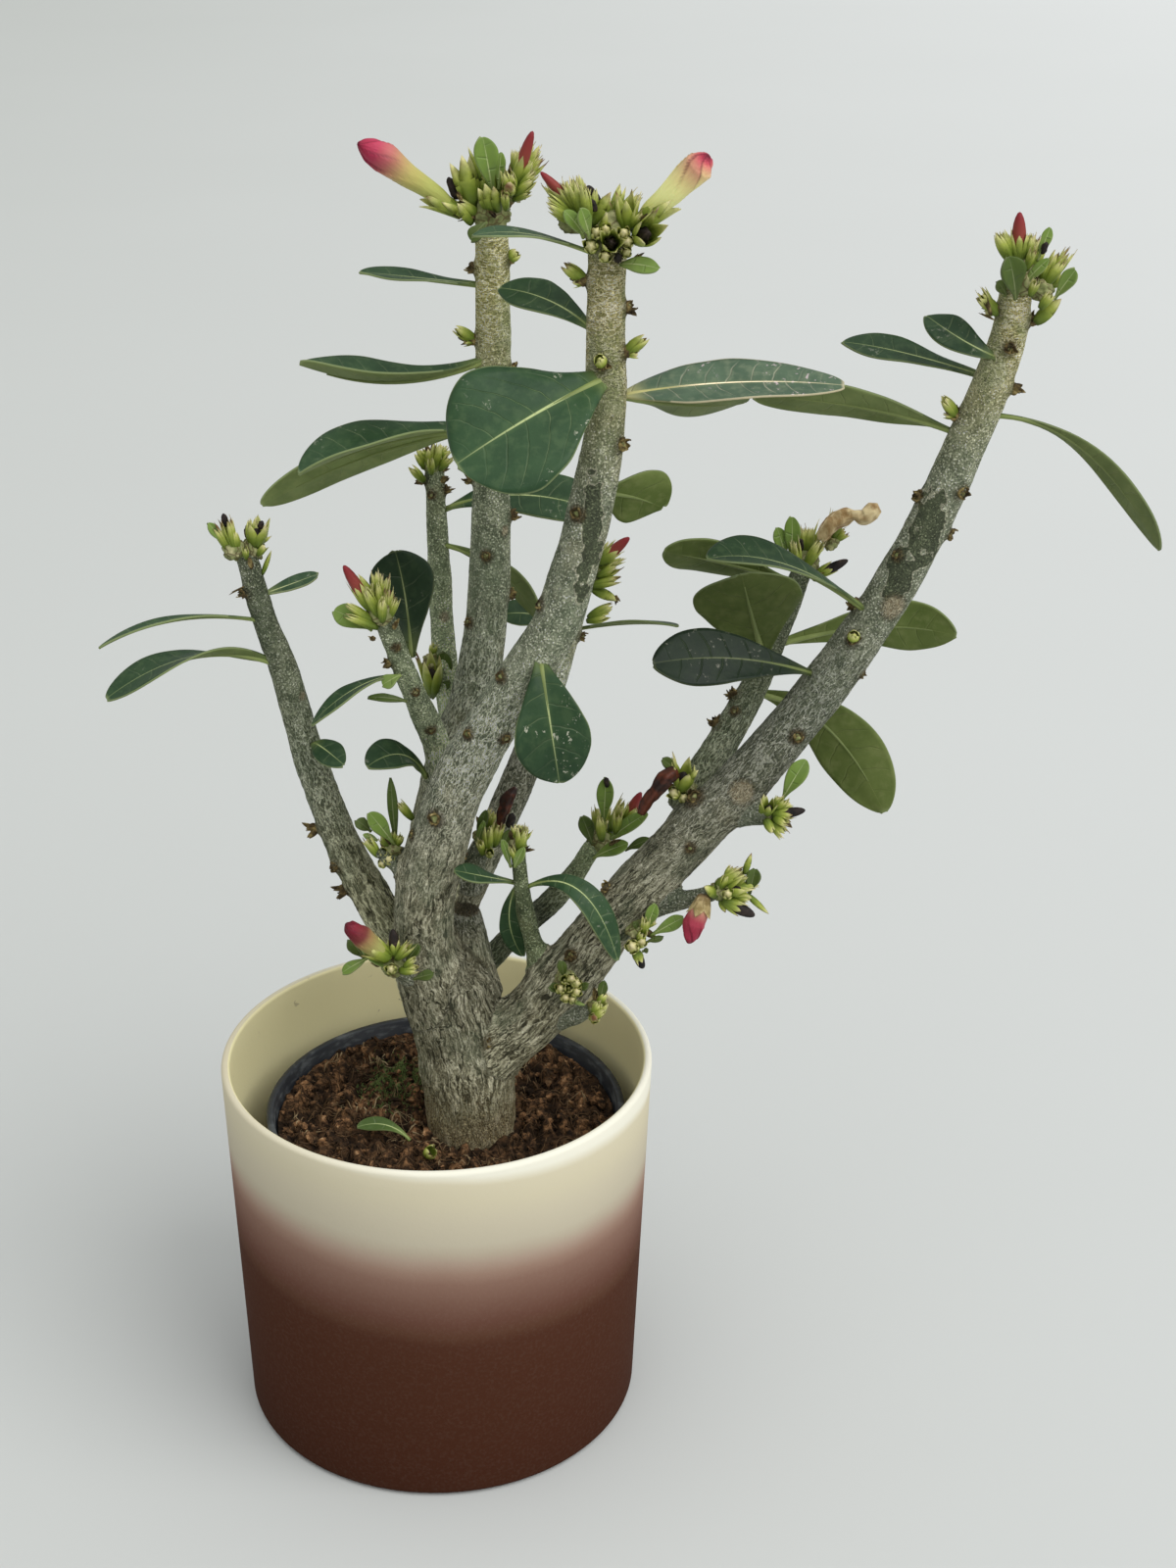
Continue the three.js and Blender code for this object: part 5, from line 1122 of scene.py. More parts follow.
def build_cachepot():
    lip = CACHEPOT_WALL / 2
    rim, base = CACHEPOT_RIM_RADIUS, CACHEPOT_BASE_RADIUS
    profile = [(0, 0), (base * 0.5, 0)]
    for share in shares(6):
        angle = share * math.pi / 2
        profile.append((base - CACHEPOT_EDGE * (1 - math.sin(angle)), CACHEPOT_EDGE * (1 - math.cos(angle))))
    for share in shares(24)[1:-1]:
        height = CACHEPOT_EDGE + (CACHEPOT_HEIGHT - lip - CACHEPOT_EDGE) * share
        profile.append((base + (rim - base) * share, height))
    for share in shares(8):
        angle = share * math.pi
        profile.append((rim - lip + lip * math.cos(angle), CACHEPOT_HEIGHT - lip + lip * math.sin(angle)))
    inner = base - CACHEPOT_WALL
    for depth in shares(16)[1:-1]:
        share = 1 - depth
        profile.append((inner + (rim - base) * share, CACHEPOT_FLOOR + 4 + (CACHEPOT_HEIGHT - 8) * share))
    profile += [(inner, CACHEPOT_FLOOR + 3), (inner - 1, CACHEPOT_FLOOR + 1), (inner - 3, CACHEPOT_FLOOR)]
    profile += [(inner * 0.5, CACHEPOT_FLOOR), (0, CACHEPOT_FLOOR)]
    bm = lathe(profile, 144)
    lining = bm.verts.layers.float.new("lining")
    for vert in bm.verts:
        height = vert.co.z / MM
        outer = base + (rim - base) * height / CACHEPOT_HEIGHT
        inside = math.hypot(vert.co.x, vert.co.y) / MM < outer - CACHEPOT_WALL * 0.7
        vert[lining] = 1.0 if inside and height > 1 else 0.0
    piece_from("cachepot_cup", bm, [cachepot_finish()], ["cachepot"])


def build_nursery_pot():
    def inner(height):
        share = (height - POT_FOOT) / POT_HEIGHT
        return POT_BASE_RADIUS + (POT_RIM_RADIUS - POT_BASE_RADIUS) * share - POT_BAND_STEP - POT_WALL
    band = POT_TOP - POT_BAND_HEIGHT
    floor = POT_FOOT + POT_WALL
    profile = [(0, POT_FOOT), (30, POT_FOOT), (inner(POT_FOOT) + POT_WALL, POT_FOOT)]
    profile += [(inner(POT_FOOT + 2) + POT_WALL, POT_FOOT + 2), (inner(band) + POT_WALL, band)]
    profile += [(inner(band) + POT_WALL + POT_BAND_STEP, band + POT_BAND_STEP)]
    profile += [(POT_RIM_RADIUS - 0.1, POT_TOP - 0.5), (POT_RIM_RADIUS - 0.5, POT_TOP)]
    profile += [(inner(POT_TOP) + 0.4, POT_TOP), (inner(POT_TOP), POT_TOP - 0.4)]
    profile += [(inner(floor + 2), floor + 2), (inner(floor), floor), (30, floor), (0, floor)]
    piece_from("nursery_pot_shell", lathe(profile, 96, POT_CENTRE_X), [nursery_finish()], ["nursery_pot"])


# ---------------------------------------------------------------------------- soil

def soil_height(x, y):
    """The soil's surface at a place in millimetres: broad mounds, lumps and crumb."""
    spot = Vector((x, y, 0))
    broad = noise.noise(spot / 19) * 1.8
    lumps = abs(noise.noise(spot / 5.5 + Vector((7, 3, 1)))) * 8.5 - 2.8
    crumb = noise.noise(spot / 2.1) * 1.3 + noise.noise(spot / 0.9) * 0.5
    edge = math.hypot(x - POT_CENTRE_X, y) / SOIL_RADIUS
    fade = max(0.0, min(1.0, (1 - edge) * 8))
    return SOIL_LEVEL - 0.3 + (broad + lumps + crumb) * (0.35 + 0.65 * fade) - 0.6 * (1 - fade)


def build_soil():
    profile = [(SOIL_FLOOR_RADIUS * step / 4, SOIL_FLOOR) for step in range(5)]
    widening = SOIL_RADIUS - 0.8 - SOIL_WALL_FOOT_RADIUS
    for step in range(1, 5):
        radius = SOIL_WALL_FOOT_RADIUS + widening * step / 4
        profile.append((radius, SOIL_FLOOR + SOIL_WALL_HEIGHT * step / 4))
    profile += [((SOIL_RADIUS - 0.6) * (1 - step / 70), SOIL_LEVEL) for step in range(71)]
    bm = lathe(profile, 170, POT_CENTRE_X)
    for vert in bm.verts:
        if vert.co.z > (SOIL_LEVEL - 1) * MM:
            vert.co.z = soil_height(vert.co.x / MM, vert.co.y / MM) * MM
    finish = soil_finish()
    piece_from("soil_bed", bm, [finish], ["soil"])
    scatter_crumbs(finish)
    scatter_fibres()
    grow_moss()
    drop_litter()


def drop_litter():
    """A fallen leaf and a fallen bud on the soil."""
    bm = leaf_mesh()
    leaf = ((-8, -19.5, 106), (-16, -15.5, 109), (-25.5, -14.5, 107.5), 5, (0.1, -0.5, 0.85), 14)
    add_leaf(bm, leaf, 20, 9, 3.3, 1.0)
    face_outwards(bm)
    pale = leaf_finish("leaf_fallen", ((62, 84, 36), (80, 102, 48)), ((104, 122, 62), (118, 134, 74)), 0.1)
    piece_from("fallen_leaf", bm, [pale, rib_finish()], ["soil"])
    bud, _ = calyx(4, mouth=0.2)
    face_outwards(bud)
    place = Matrix.Translation((-2.3 * MM, -26 * MM, 105 * MM)) @ looking_along(Vector((0.5, -0.6, 0.6)))
    bmesh.ops.transform(bud, matrix=place @ Matrix.Scale(5.5 * MM, 4), verts=bud.verts)
    piece_from("fallen_bud", bud, [sepal_finish()], ["soil"])


def clear_of_trunk(x, y):
    return math.hypot(x - TRUNK_AT_SOIL[0], y - TRUNK_AT_SOIL[1]) > TRUNK_CLEARANCE


def free_soil_spot(draw, reach=0.97):
    """A random place on the soil, clear of the trunk."""
    while True:
        angle, radius = draw.uniform(0, math.tau), SOIL_RADIUS * reach * math.sqrt(draw.random())
        x, y = POT_CENTRE_X + radius * math.cos(angle), radius * math.sin(angle)
        if clear_of_trunk(x, y):
            return x, y


def scatter_crumbs(finish):
    draw = random.Random(CRUMB_SEED)
    lump = bmesh.new()
    bmesh.ops.create_icosphere(lump, subdivisions=1, radius=1)
    for vert in lump.verts:
        vert.co *= 1 + 0.9 * noise.noise(vert.co * 2.3)
    crumb = saved_mesh("crumb_template", lump)
    bm = bmesh.new()
    for _ in range(CRUMB_COUNT):
        x, y = free_soil_spot(draw)
        size = draw.uniform(0.3, 0.9) if draw.random() < 0.8 else draw.uniform(0.9, 2.2)
        place = Matrix.Translation((x * MM, y * MM, (soil_height(x, y) + size * 0.15) * MM))
        spin = Matrix.Rotation(draw.uniform(0, math.tau), 4, Vector((draw.random(), draw.random(), 1)))
        deep, tall = size * MM * draw.uniform(0.5, 1.3), size * MM * draw.uniform(0.4, 0.9)
        add_copy(bm, crumb, place @ spin @ Matrix.Diagonal((size * MM, deep, tall, 1)))
    bpy.data.meshes.remove(crumb)
    crumbs = piece_from("soil_crumbs", bm, [finish], ["soil"])
    crumbs.data.shade_flat()


def scatter_fibres():
    """Coir fibres and pale root hairs lying on the soil."""
    draw = random.Random(FIBRE_SEED)
    bm = bmesh.new()
    for number in range(FIBRE_COUNT):
        x, y = free_soil_spot(draw, 0.95)
        heading = draw.uniform(0, math.tau)
        thick = draw.uniform(0.12, 0.34) if number >= THICK_FIBRE_COUNT else draw.uniform(0.35, 0.6)
        length = draw.uniform(0.7, 2.6)
        curl = draw.uniform(-0.7, 0.7)
        stops = []
        lift = draw.uniform(0.0, 0.9)
        for step in range(5):
            if math.hypot(x - POT_CENTRE_X, y) > SOIL_RADIUS - 1.5:
                break
            rise = lift * math.sin(step / 4 * math.pi) + 0.25
            stops.append((x, y, soil_height(x, y) + rise, thick * (1 - 0.12 * step)))
            x += length * math.cos(heading)
            y += length * math.sin(heading)
            heading += curl + draw.uniform(-0.5, 0.5)
        if len(stops) > 2:
            strand = bmesh.new()
            sweep(strand, route_frames(stops, 6), 3)
            mesh = template("strand", strand)
            bm.from_mesh(mesh)
            bpy.data.meshes.remove(mesh)
    piece_from("soil_fibres", bm, [mottled_finish("coir_fibres")], ["soil"])


def grow_moss():
    """A patch of moss left of the trunk: short pointed shoots."""
    draw = random.Random(MOSS_SEED)
    shoot = bmesh.new()
    bmesh.ops.create_cone(shoot, cap_ends=True, segments=4, radius1=0.5, radius2=0.04, depth=1.0,
                          matrix=Matrix.Translation((0, 0, 0.5)))
    tuft = saved_mesh("moss_template", shoot)
    bm = bmesh.new()
    for _ in range(MOSS_COUNT):
        x, y = (draw.gauss(middle, spread) for middle, spread in zip(MOSS_PATCH, MOSS_SPREAD))
        if not clear_of_trunk(x, y) or math.hypot(x, y) > SOIL_RADIUS - 4:
            continue
        lean = Vector((draw.gauss(0, 0.5), draw.gauss(0, 0.5), 1)).normalized()
        place = Matrix.Translation((x * MM, y * MM, (soil_height(x, y) - 0.2) * MM))
        thick, tall = draw.uniform(0.4, 0.9) * MM, draw.uniform(0.6, 1.6) * MM
        add_copy(bm, tuft, place @ looking_along(lean) @ Matrix.Diagonal((thick, thick, tall, 1)))
    bpy.data.meshes.remove(tuft)
    piece_from("soil_moss", bm, [moss_finish()], ["soil"])


# ---------------------------------------------------------------------------- wood

# Grid of the joined skin, reach of the fillet where limbs meet, and the step in the grain between limbs.
WOOD_VOXEL = 0.96
CROTCH_BLEND = 5.0
LIMB_STEP = 60


def spur_frame(limb, place, degrees):
    """Where a spur stands: a point on the limb's surface, outward direction and the limb's direction."""
    stops = LIMBS[limb]
    tangent = route_tangent(stops, place)
    front = (FRONT - FRONT.dot(tangent) * tangent).normalized()
    side = tangent.cross(front)
    angle = math.radians(degrees)
    out = front * math.cos(angle) + side * math.sin(angle)
    return route_point(stops, place) + out * route_radius(stops, place), out, tangent


def rough_wood():
    """All limbs and the feet of the spurs as overlapping round bodies, then joined into one skin."""
    bm = bmesh.new()
    for stops in LIMBS.values():
        count = max(6, round(route_length(stops) / 3))
        frames = route_frames(stops, count)
        last = frames[-1]
        for lift, shrink in ((0.25, 0.86), (0.4, 0.6)):
            raised = Matrix.Translation((0, 0, stops[-1][3] * lift))
            frames.append(last @ raised @ Matrix.Diagonal((shrink, shrink, 1, 1)))
        sweep(bm, frames, 20)
    for limb, place, degrees, _, _ in SPURS:
        foot, out, tangent = spur_frame(limb, place, degrees)
        thick = min(2.3, route_radius(LIMBS[limb], place) * 0.45)
        frames = [frame_at(foot + out * lift, out, tangent, thick * wide)
                  for lift, wide in ((-2, 1.3), (0, 1.1), (0.7, 0.75), (1.3, 0.4))]
        sweep(bm, frames, 8)
    mesh = template("wood_rough", bm)
    rough = in_scene("wood_rough", mesh)
    remesh = rough.modifiers.new("skin", "REMESH")
    remesh.mode = "VOXEL"
    remesh.voxel_size = WOOD_VOXEL * MM
    graph = bpy.context.evaluated_depsgraph_get()
    skin = bpy.data.meshes.new_from_object(rough.evaluated_get(graph))
    bpy.data.objects.remove(rough)
    bpy.data.meshes.remove(mesh)
    bm = bmesh.new()
    bm.from_mesh(skin)
    for _ in range(3):
        bmesh.ops.smooth_vert(bm, verts=bm.verts, factor=0.5,
                              use_axis_x=True, use_axis_y=True, use_axis_z=True)
    bm.to_mesh(skin)
    bm.free()
    return skin


def straightened(points):
    """For points in millimetres on the wood: place in the nearest limb's own straightened axes, that limb's
    radius and number, the distance from its skin, and the same distance for the next nearest limb."""
    total = len(points)
    grain = np.zeros((total, 3))
    thick = np.zeros(total)
    owner = np.zeros(total, int)
    near = np.full(total, 1e9)
    second = np.full(total, 1e9)
    for number, stops in enumerate(LIMBS.values()):
        count = max(8, round(route_length(stops) / 1.5))
        frames = [np.array(frame) for frame in route_frames(stops, count)]
        radius = np.array([route_radius(stops, place) for place in shares(count)])
        centre = np.array([frame[:3, 3] for frame in frames]) / MM
        across = np.array([frame[:3, 0] for frame in frames]) / MM / radius[:, None]
        up = np.array([frame[:3, 1] for frame in frames]) / MM / radius[:, None]
        tangent = np.array([frame[:3, 2] for frame in frames]) / MM
        run = np.concatenate([[0], np.cumsum(np.linalg.norm(np.diff(centre, axis=0), axis=1))])
        closest = np.concatenate([
            ((chunk[:, None, :] - centre[None]) ** 2).sum(2).argmin(1)
            for chunk in np.array_split(points, max(1, total // 8000))])
        offset = points - centre[closest]
        x = (offset * across[closest]).sum(1)
        y = (offset * up[closest]).sum(1)
        z = (offset * tangent[closest]).sum(1)
        past = np.where((closest == 0) | (closest == count), np.abs(z), 0)
        gap = np.sqrt(x**2 + y**2 + past**2) - radius[closest]
        better = gap < near
        second = np.where(better, near, np.minimum(second, gap))
        near = np.where(better, gap, near)
        owner = np.where(better, number, owner)
        thick = np.where(better, radius[closest], thick)
        here = np.stack([x, y, run[closest] + z + LIMB_STEP * number], 1)
        grain = np.where(better[:, None], here, grain)
    return grain, thick, owner, near, second


# Dark green patches where the bark's silvery skin has worn off: centre and the radii along X, Y and Z.
WORN_PATCHES = [
    ((49, -32, 319), (3, 6, 16)), ((46, -33, 303), (2.4, 6, 8)), ((147, -5, 309), (5, 6, 13)),
    ((139, -5, 294), (4, 6, 10)), ((62, -20, 182), (4, 6, 4)),
]


def limb_tone_light_and_shade(limb, place):
    """The bark's tone on a limb, its own colour with painted shade and painted light: one colour per place
    along it, 0..1.
    """
    tones = LIMB_TONES_LIGHT_AND_SHADE.get(limb, SHOOT_TONE)
    green = LIMB_GREEN.get(limb, 0)
    value = np.interp(place, np.linspace(0, 1, len(tones)), tones)
    return np.stack([value * (1 - 0.08 * green), value * (1 + 0.02 * green), value * (1 - 0.22 * green)], 1)


def bark_lift(grain, age):
    """How far the bark stands out, in millimetres: broad swells, plates between cracks, and fine grain."""
    # Until it is seeded, noise_vector takes its offsets from the clock.
    noise.seed_set(BARK_SEED)
    lift = np.zeros(len(grain))
    for index, ((x, y, run), old) in enumerate(zip(grain, age)):
        spot = Vector((x, y, run))
        lift[index] = noise.noise(spot / 13) * 0.45
        lift[index] += noise.noise(Vector((x / 5, y / 5, run / 12))) * 0.3 * old
        if old > 0.15:
            wander = noise.noise_vector(spot / 4.5) * 0.45
            nearest, following = noise.voronoi(Vector((x / 3.1, y / 3.1, run / 10)) + wander)[0][:2]
            plate = min(1.0, max(0.0, (following - nearest) / 0.3))
            lift[index] += (0.34 * plate - 0.2) * old
        lift[index] += noise.noise(spot / 1.7) * 0.1
    return lift


def worn_share(points):
    """1 where the bark's skin has worn off, fading at each patch's ragged edge."""
    worn = np.zeros(len(points))
    for centre, radii in WORN_PATCHES:
        away = (((points - np.array(centre)) / np.array(radii)) ** 2).sum(1)
        close = away < 2.5
        wobble = np.array([noise.noise(Vector(point) / 3.2) * 1.1 + noise.noise(Vector(point) / 1.3) * 0.6
                           for point in points[close]])
        worn[close] = np.maximum(worn[close], np.clip((1.15 - away[close] + wobble) * 1.6, 0, 1))
    return worn


def mark_scars(points, lift):
    """How scarred and how healed the bark is: round spurs and leaf scars, and on the stub's cut end. It also
    raises the scars' rims in lift and sinks their middles."""
    scar, healed = np.zeros(len(points)), np.zeros(len(points))

    def distance(limb, place, degrees):
        return np.linalg.norm(points - np.array(spur_frame(limb, place, degrees)[0]), axis=1)
    for limb, place, degrees, _, _ in SPURS:
        scar = np.maximum(scar, np.clip(1.5 - distance(limb, place, degrees) / 2.4, 0, 1) * 0.8)
    for limb, place, degrees, radius, kind in LEAF_SCARS:
        away = distance(limb, place, degrees) / radius
        if kind == "ring":
            scar = np.maximum(scar, np.clip((1.5 - away) * 2.5, 0, 1) * 0.85)
            lift += np.clip(1.4 - away, 0, 0.7) - np.clip(0.7 - away, 0, 1) * 1.2
        else:
            healed = np.maximum(healed, np.clip((1.15 - away) * 5, 0, 1) * 0.9)
            scar = np.maximum(scar, np.clip(1 - np.abs(away - 1.2) * 5, 0, 1) * 0.7)
    stub_end = np.array(LIMBS["stub"][-1][:3])
    beside = np.linalg.norm(points - stub_end, axis=1)
    cut = np.clip((6 - beside) / 1.5, 0, 1) * (points[:, 2] > stub_end[2] + 0.5) * 0.8
    return np.maximum(scar, cut), healed


def build_wood():
    skin = rough_wood()
    total = len(skin.vertices)
    flat = np.empty(total * 3, np.float32)
    skin.vertices.foreach_get("co", flat)
    points = flat.reshape(-1, 3).astype(float) / MM
    skin.vertex_normals.foreach_get("vector", flat)
    normals = flat.reshape(-1, 3).astype(float)
    grain, thick, owner, near, second = straightened(points)
    age = np.clip(1.15 - (points[:, 2] - 150) / 130, 0, 1) * np.clip((thick - 2.6) / 3.5, 0.1, 1)
    fillet = CROTCH_BLEND * 0.25 * np.clip(1 - (second - near) / CROTCH_BLEND, 0, 1) ** 2
    lift = bark_lift(grain, age)
    scar, healed = mark_scars(points, lift)
    stub_axis = np.array([route_point(LIMBS["stub"], step / 12) for step in range(5, 13)])
    by_stub = np.linalg.norm(points[:, None] - stub_axis[None], axis=2).min(1) < 7
    # Along the crease between the stub and the main limb the skin sinks, and painted shade darkens it there,
    # partly through the scar's brown.
    crease = np.clip(1 - (second - near) / 1.3, 0, 1) * by_stub
    scar = np.maximum(scar, crease * 0.2)
    lift -= crease * 0.9
    # Each limb's tone: its own colour together with painted shade and painted light.
    tone = np.ones((total, 3))
    for number, limb in enumerate(LIMBS):
        mine = owner == number
        length = max(1.0, route_length(LIMBS[limb]))
        tone[mine] = limb_tone_light_and_shade(limb, (grain[mine, 2] - LIMB_STEP * number) / length)
    moved = (points + normals * (fillet + lift)[:, None]) * MM
    skin.vertices.foreach_set("co", moved.astype(np.float32).ravel())
    for name, values in {"grain": grain, "tone": tone}.items():
        layer = skin.attributes.new(name, "FLOAT_VECTOR", "POINT")
        layer.data.foreach_set("vector", values.astype(np.float32).ravel())
    marks = {"age": age, "crease": crease, "worn": worn_share(points), "scar": scar, "healed": healed}
    for name, values in marks.items():
        skin.attributes.new(name, "FLOAT", "POINT").data.foreach_set("value", values.astype(np.float32))
    skin.materials.clear()
    skin.update()
    piece_of("woody_stem", skin, [bark_finish()], ["stem"])


# ---------------------------------------------------------------------------- leaves

def leaf_outline(place, belly):
    """Half width along the midrib, as a share of the widest: a narrow stalk, widest past the middle."""
    return LEAF_STALK + (1 - LEAF_STALK) * max(0.0, math.sin(math.pi * place**belly)) ** 0.65


def leaf_midrib(leaf, place):
    base, middle, tip = (Vector(point) for point in leaf[:3])
    control = 2 * middle - 0.5 * base - 0.5 * tip
    point = base * (1 - place) ** 2 + control * 2 * place * (1 - place) + tip * place**2
    tangent = ((control - base) * (1 - place) + (tip - control) * place).normalized()
    return point, tangent


def leaf_axes(leaf, place):
    """The midrib's point, its direction, the blade's sideways axis and its upper side, all at one place."""
    point, tangent = leaf_midrib(leaf, place)
    face = Vector(leaf[4])
    face = (face - face.dot(tangent) * tangent).normalized()
    twist = leaf[6] if len(leaf) > 6 else 0
    face = Matrix.Rotation(math.radians(twist * (place - 0.5)), 3, tangent) @ face
    return point, tangent, tangent.cross(face), face


def leaf_mesh():
    """An empty bmesh with the leaves' layers: flat is millimetres across and along, and 1 underneath."""
    bm = bmesh.new()
    bm.verts.layers.float_vector.new("flat")
    bm.verts.layers.float_vector.new("tone")
    for name in ("edge", "rib", "fading", "shade"):
        bm.verts.layers.float.new(name)
    return bm


def add_leaf(bm, leaf, stations, columns, seed, shade, blade_index=0, stalk_index=1):
    """A blade with its rib under it."""
    flat, tone = bm.verts.layers.float_vector["flat"], bm.verts.layers.float_vector["tone"]
    edge, rib = bm.verts.layers.float["edge"], bm.verts.layers.float["rib"]
    fading = bm.verts.layers.float["fading"]
    if not isinstance(shade, tuple):
        shade = (shade, shade, shade)
    belly = leaf[7] if len(leaf) > 7 else LEAF_BELLY
    width, fold = leaf[3], math.radians(leaf[5])
    points = [leaf_midrib(leaf, place)[0] for place in shares(20)]
    length = sum((after - before).length for before, after in zip(points, points[1:]))
    first, first_face = len(bm.verts), len(bm.faces)
    bmesh.ops.create_grid(bm, x_segments=columns, y_segments=stations, size=1)
    for vert in fresh_verts(bm, first):
        share, along = vert.co.x, (vert.co.y + 1) / 2
        place = 1 - (1 - along) ** 1.6
        point, _, side, face = leaf_axes(leaf, place)
        half = max(0.06 * width, width / 2 * leaf_outline(place, belly))
        half *= 1 + 0.035 * noise.noise(Vector((seed, place * 7, share)))
        wave = math.sin(place * 9 + share * 2) * share**2 * width * 0.02
        ripple = noise.noise(Vector((seed * 1.7, place * 3.2, share * 1.3)))
        wave += ripple * abs(share) ** 1.5 * width * 0.05
        rise = math.sqrt(share**2 + 0.01) * half * math.sin(fold) + wave
        spot = point + side * share * half * math.cos(fold) + face * rise
        vert.co = spot * MM
        vert[flat] = (share * half, place * length, 0)
        vert[edge] = max(abs(share), 1.5 * place - 0.5) if place > 0.2 else abs(share) * place * 5
        vert[rib] = max(0.1, (0.22 + width * 0.014) * (1 - 0.8 * place))
        vert[fading] = 1 - max(0.0, place - 0.55) / 0.45 * 0.75
        vert[tone] = shade
    upper = leaf_axes(leaf, 0.5)[3]
    bm.faces.ensure_lookup_table()
    blade = bm.faces[first_face:]
    bm.normal_update()
    if blade[len(blade) // 2].normal.dot(upper) < 0:
        bmesh.ops.reverse_faces(bm, faces=blade)
    top = len(bm.verts)
    bmesh.ops.solidify(bm, geom=blade, thickness=LEAF_THICKNESS * MM)
    for vert in fresh_verts(bm, top):
        vert[flat] = (vert[flat].x, vert[flat].y, 1)
    paint(bm, blade_index, first_face)
    frames = []
    for share in shares(RIB_STEPS):
        place = share * RIB_REACH
        point, tangent, side, face = leaf_axes(leaf, place)
        radius = min(0.3 + width * 0.03, 1.1) * (1 - place) ** 1.1 + 0.12
        frames.append(frame_at(point - face * (LEAF_THICKNESS * 0.5 + radius * 0.3), tangent, side, radius))
    first_face = len(bm.faces)
    rings = sweep(bm, frames, 8)
    paint(bm, stalk_index, first_face)
    for share, ring in zip(shares(RIB_STEPS), rings):
        for vert in ring:
            vert[edge] = share
            vert[tone] = shade


def build_leaves():
    olive_back = ((100, 114, 66), (118, 132, 80))
    fresh = leaf_finish("leaf_dark", ((38, 62, 38), (56, 82, 52)), olive_back, 0.25)
    dusty = leaf_finish("leaf_dusty", ((36, 62, 38), (58, 86, 54)), olive_back, 0.9)
    olive = leaf_finish("leaf_olive", ((44, 66, 36), (60, 84, 46)), ((86, 102, 46), (106, 120, 62)), 0.2)
    kinds = {"leaf_main_6": dusty, "leaf_right_6": dusty, "leaf_main_1": dusty, "leaf_main_5": olive,
             "leaf_upper_1": olive, "leaf_upper_2": olive, "leaf_upper_3": olive, "leaf_upper_4": olive}
    stalk = rib_finish()
    for number, (name, leaves) in enumerate(LEAVES.items()):
        for part, leaf in enumerate(leaves):
            wide = leaf[3] > WIDE_LEAF
            # Some leaves' tone is painted sheen; the others' is painted shade and painted light.
            shade = LEAF_PAINTED_SHEEN[name] if name in LEAF_PAINTED_SHEEN and part == 0 else LEAF_TONES_LIGHT_AND_SHADE.get(name, 1.0)
            bm = leaf_mesh()
            add_leaf(bm, leaf, 44 if wide else 30, 15 if wide else 9, number * 3.1 + part, shade)
            face_outwards(bm)
            blade = f"{name}_blade" if len(leaves) == 1 else f"{name}_blade_{part + 1}"
            piece_from(blade, bm, [kinds.get(name, fresh), stalk], [name])


# ---------------------------------------------------------------------------- heads

# Materials of a head's piece, by the index that its faces hold.
SEPAL, DRIED, PETAL, BLACKENED_AND_CUP_SHADE, STUMP, BLADE, STALK = range(7)
SEPAL_COUNT = 5
# Calyxes: (seed, height, bulge, mouth, awns) of the sepals, and the bud inside: its radius, foot, top,
# shades, material, lobes, their depth, and its narrowing where that isn't the usual.
CALYXES = {
    "calyx": ((1, 1.0, 0.3, 0.1, 1), (0.3, 0.0, 0.8, (0.2, 0.8), SEPAL, 5, 0.12)),
    "calyx_ragged": ((7, 1.0, 0.27, 0.24, 3), (0.28, 0.0, 0.62, (0.2, 0.9), SEPAL, 5, 0.15)),
    # The cup's dark core stands for the shade inside the open cup: painted shade.
    "cup": ((3, 0.98, 0.36, 0.46, 1), (0.34, 0.0, 0.62, (1.0, 1.0), BLACKENED_AND_CUP_SHADE, 5, 0.3)),
    "tip": ((5, 0.68, 0.3, 0.22, 1), (0.36, 0.1, 1.0, (0.35, 1.0), PETAL, 5, 0.08, 0.12)),
    "darktip": ((5, 0.68, 0.3, 0.22, 1), (0.36, 0.1, 1.0, (1.0, 1.0), BLACKENED_AND_CUP_SHADE, 5, 0.08, 0.12)),
    "knob": ((9, 1.0, 0.36, 0.3, 0), (0.45, 0.0, 0.9, (0.5, 1.0), SEPAL, 5, 0.2, 0.35)),
}


def shaded_bmesh():
    """An empty bmesh, and the layer that holds its vertices' shade."""
    bm = bmesh.new()
    return bm, bm.verts.layers.float.new("shade")


def add_sepal(bm, shade, turn, length, width, path, shades=(0.0, 1.0), skew=0.0):
    """One cupped, pointed sepal that stands round the axis; path gives its distance from the axis."""
    first = len(bm.verts)
    bmesh.ops.create_grid(bm, x_segments=3, y_segments=8, size=1)
    turned = Matrix.Rotation(turn, 3, "Z")
    for vert in fresh_verts(bm, first):
        share, place = vert.co.x, (vert.co.y + 1) / 2
        half = width * 0.5 * math.sin(math.pi * (0.14 + 0.86 * place) ** 0.9) ** 0.85 + 0.006
        out = path(place) - share**2 * half * 0.5
        vert.co = turned @ Vector((out, share * half + skew * place**2, place * length))
        vert[shade] = shades[0] + (shades[1] - shades[0]) * place


def add_core(bm, shade, radius, low, high, shades, material, lobes, depth, narrowing=0.5):
    """A closed bud on the axis, wider below, between two heights."""
    first, first_face = len(bm.verts), len(bm.faces)
    bmesh.ops.create_uvsphere(bm, u_segments=12, v_segments=9, radius=1)
    for vert in fresh_verts(bm, first):
        rise = (vert.co.z + 1) / 2
        turn = math.atan2(vert.co.y, vert.co.x)
        wide = radius * (1 - narrowing * rise**2) * (1 + depth * math.cos(lobes * turn + rise * 2))
        vert.co = Vector((vert.co.x * wide, vert.co.y * wide, low + rise * (high - low)))
        vert[shade] = shades[0] + (shades[1] - shades[0]) * rise
    paint(bm, material, first_face)


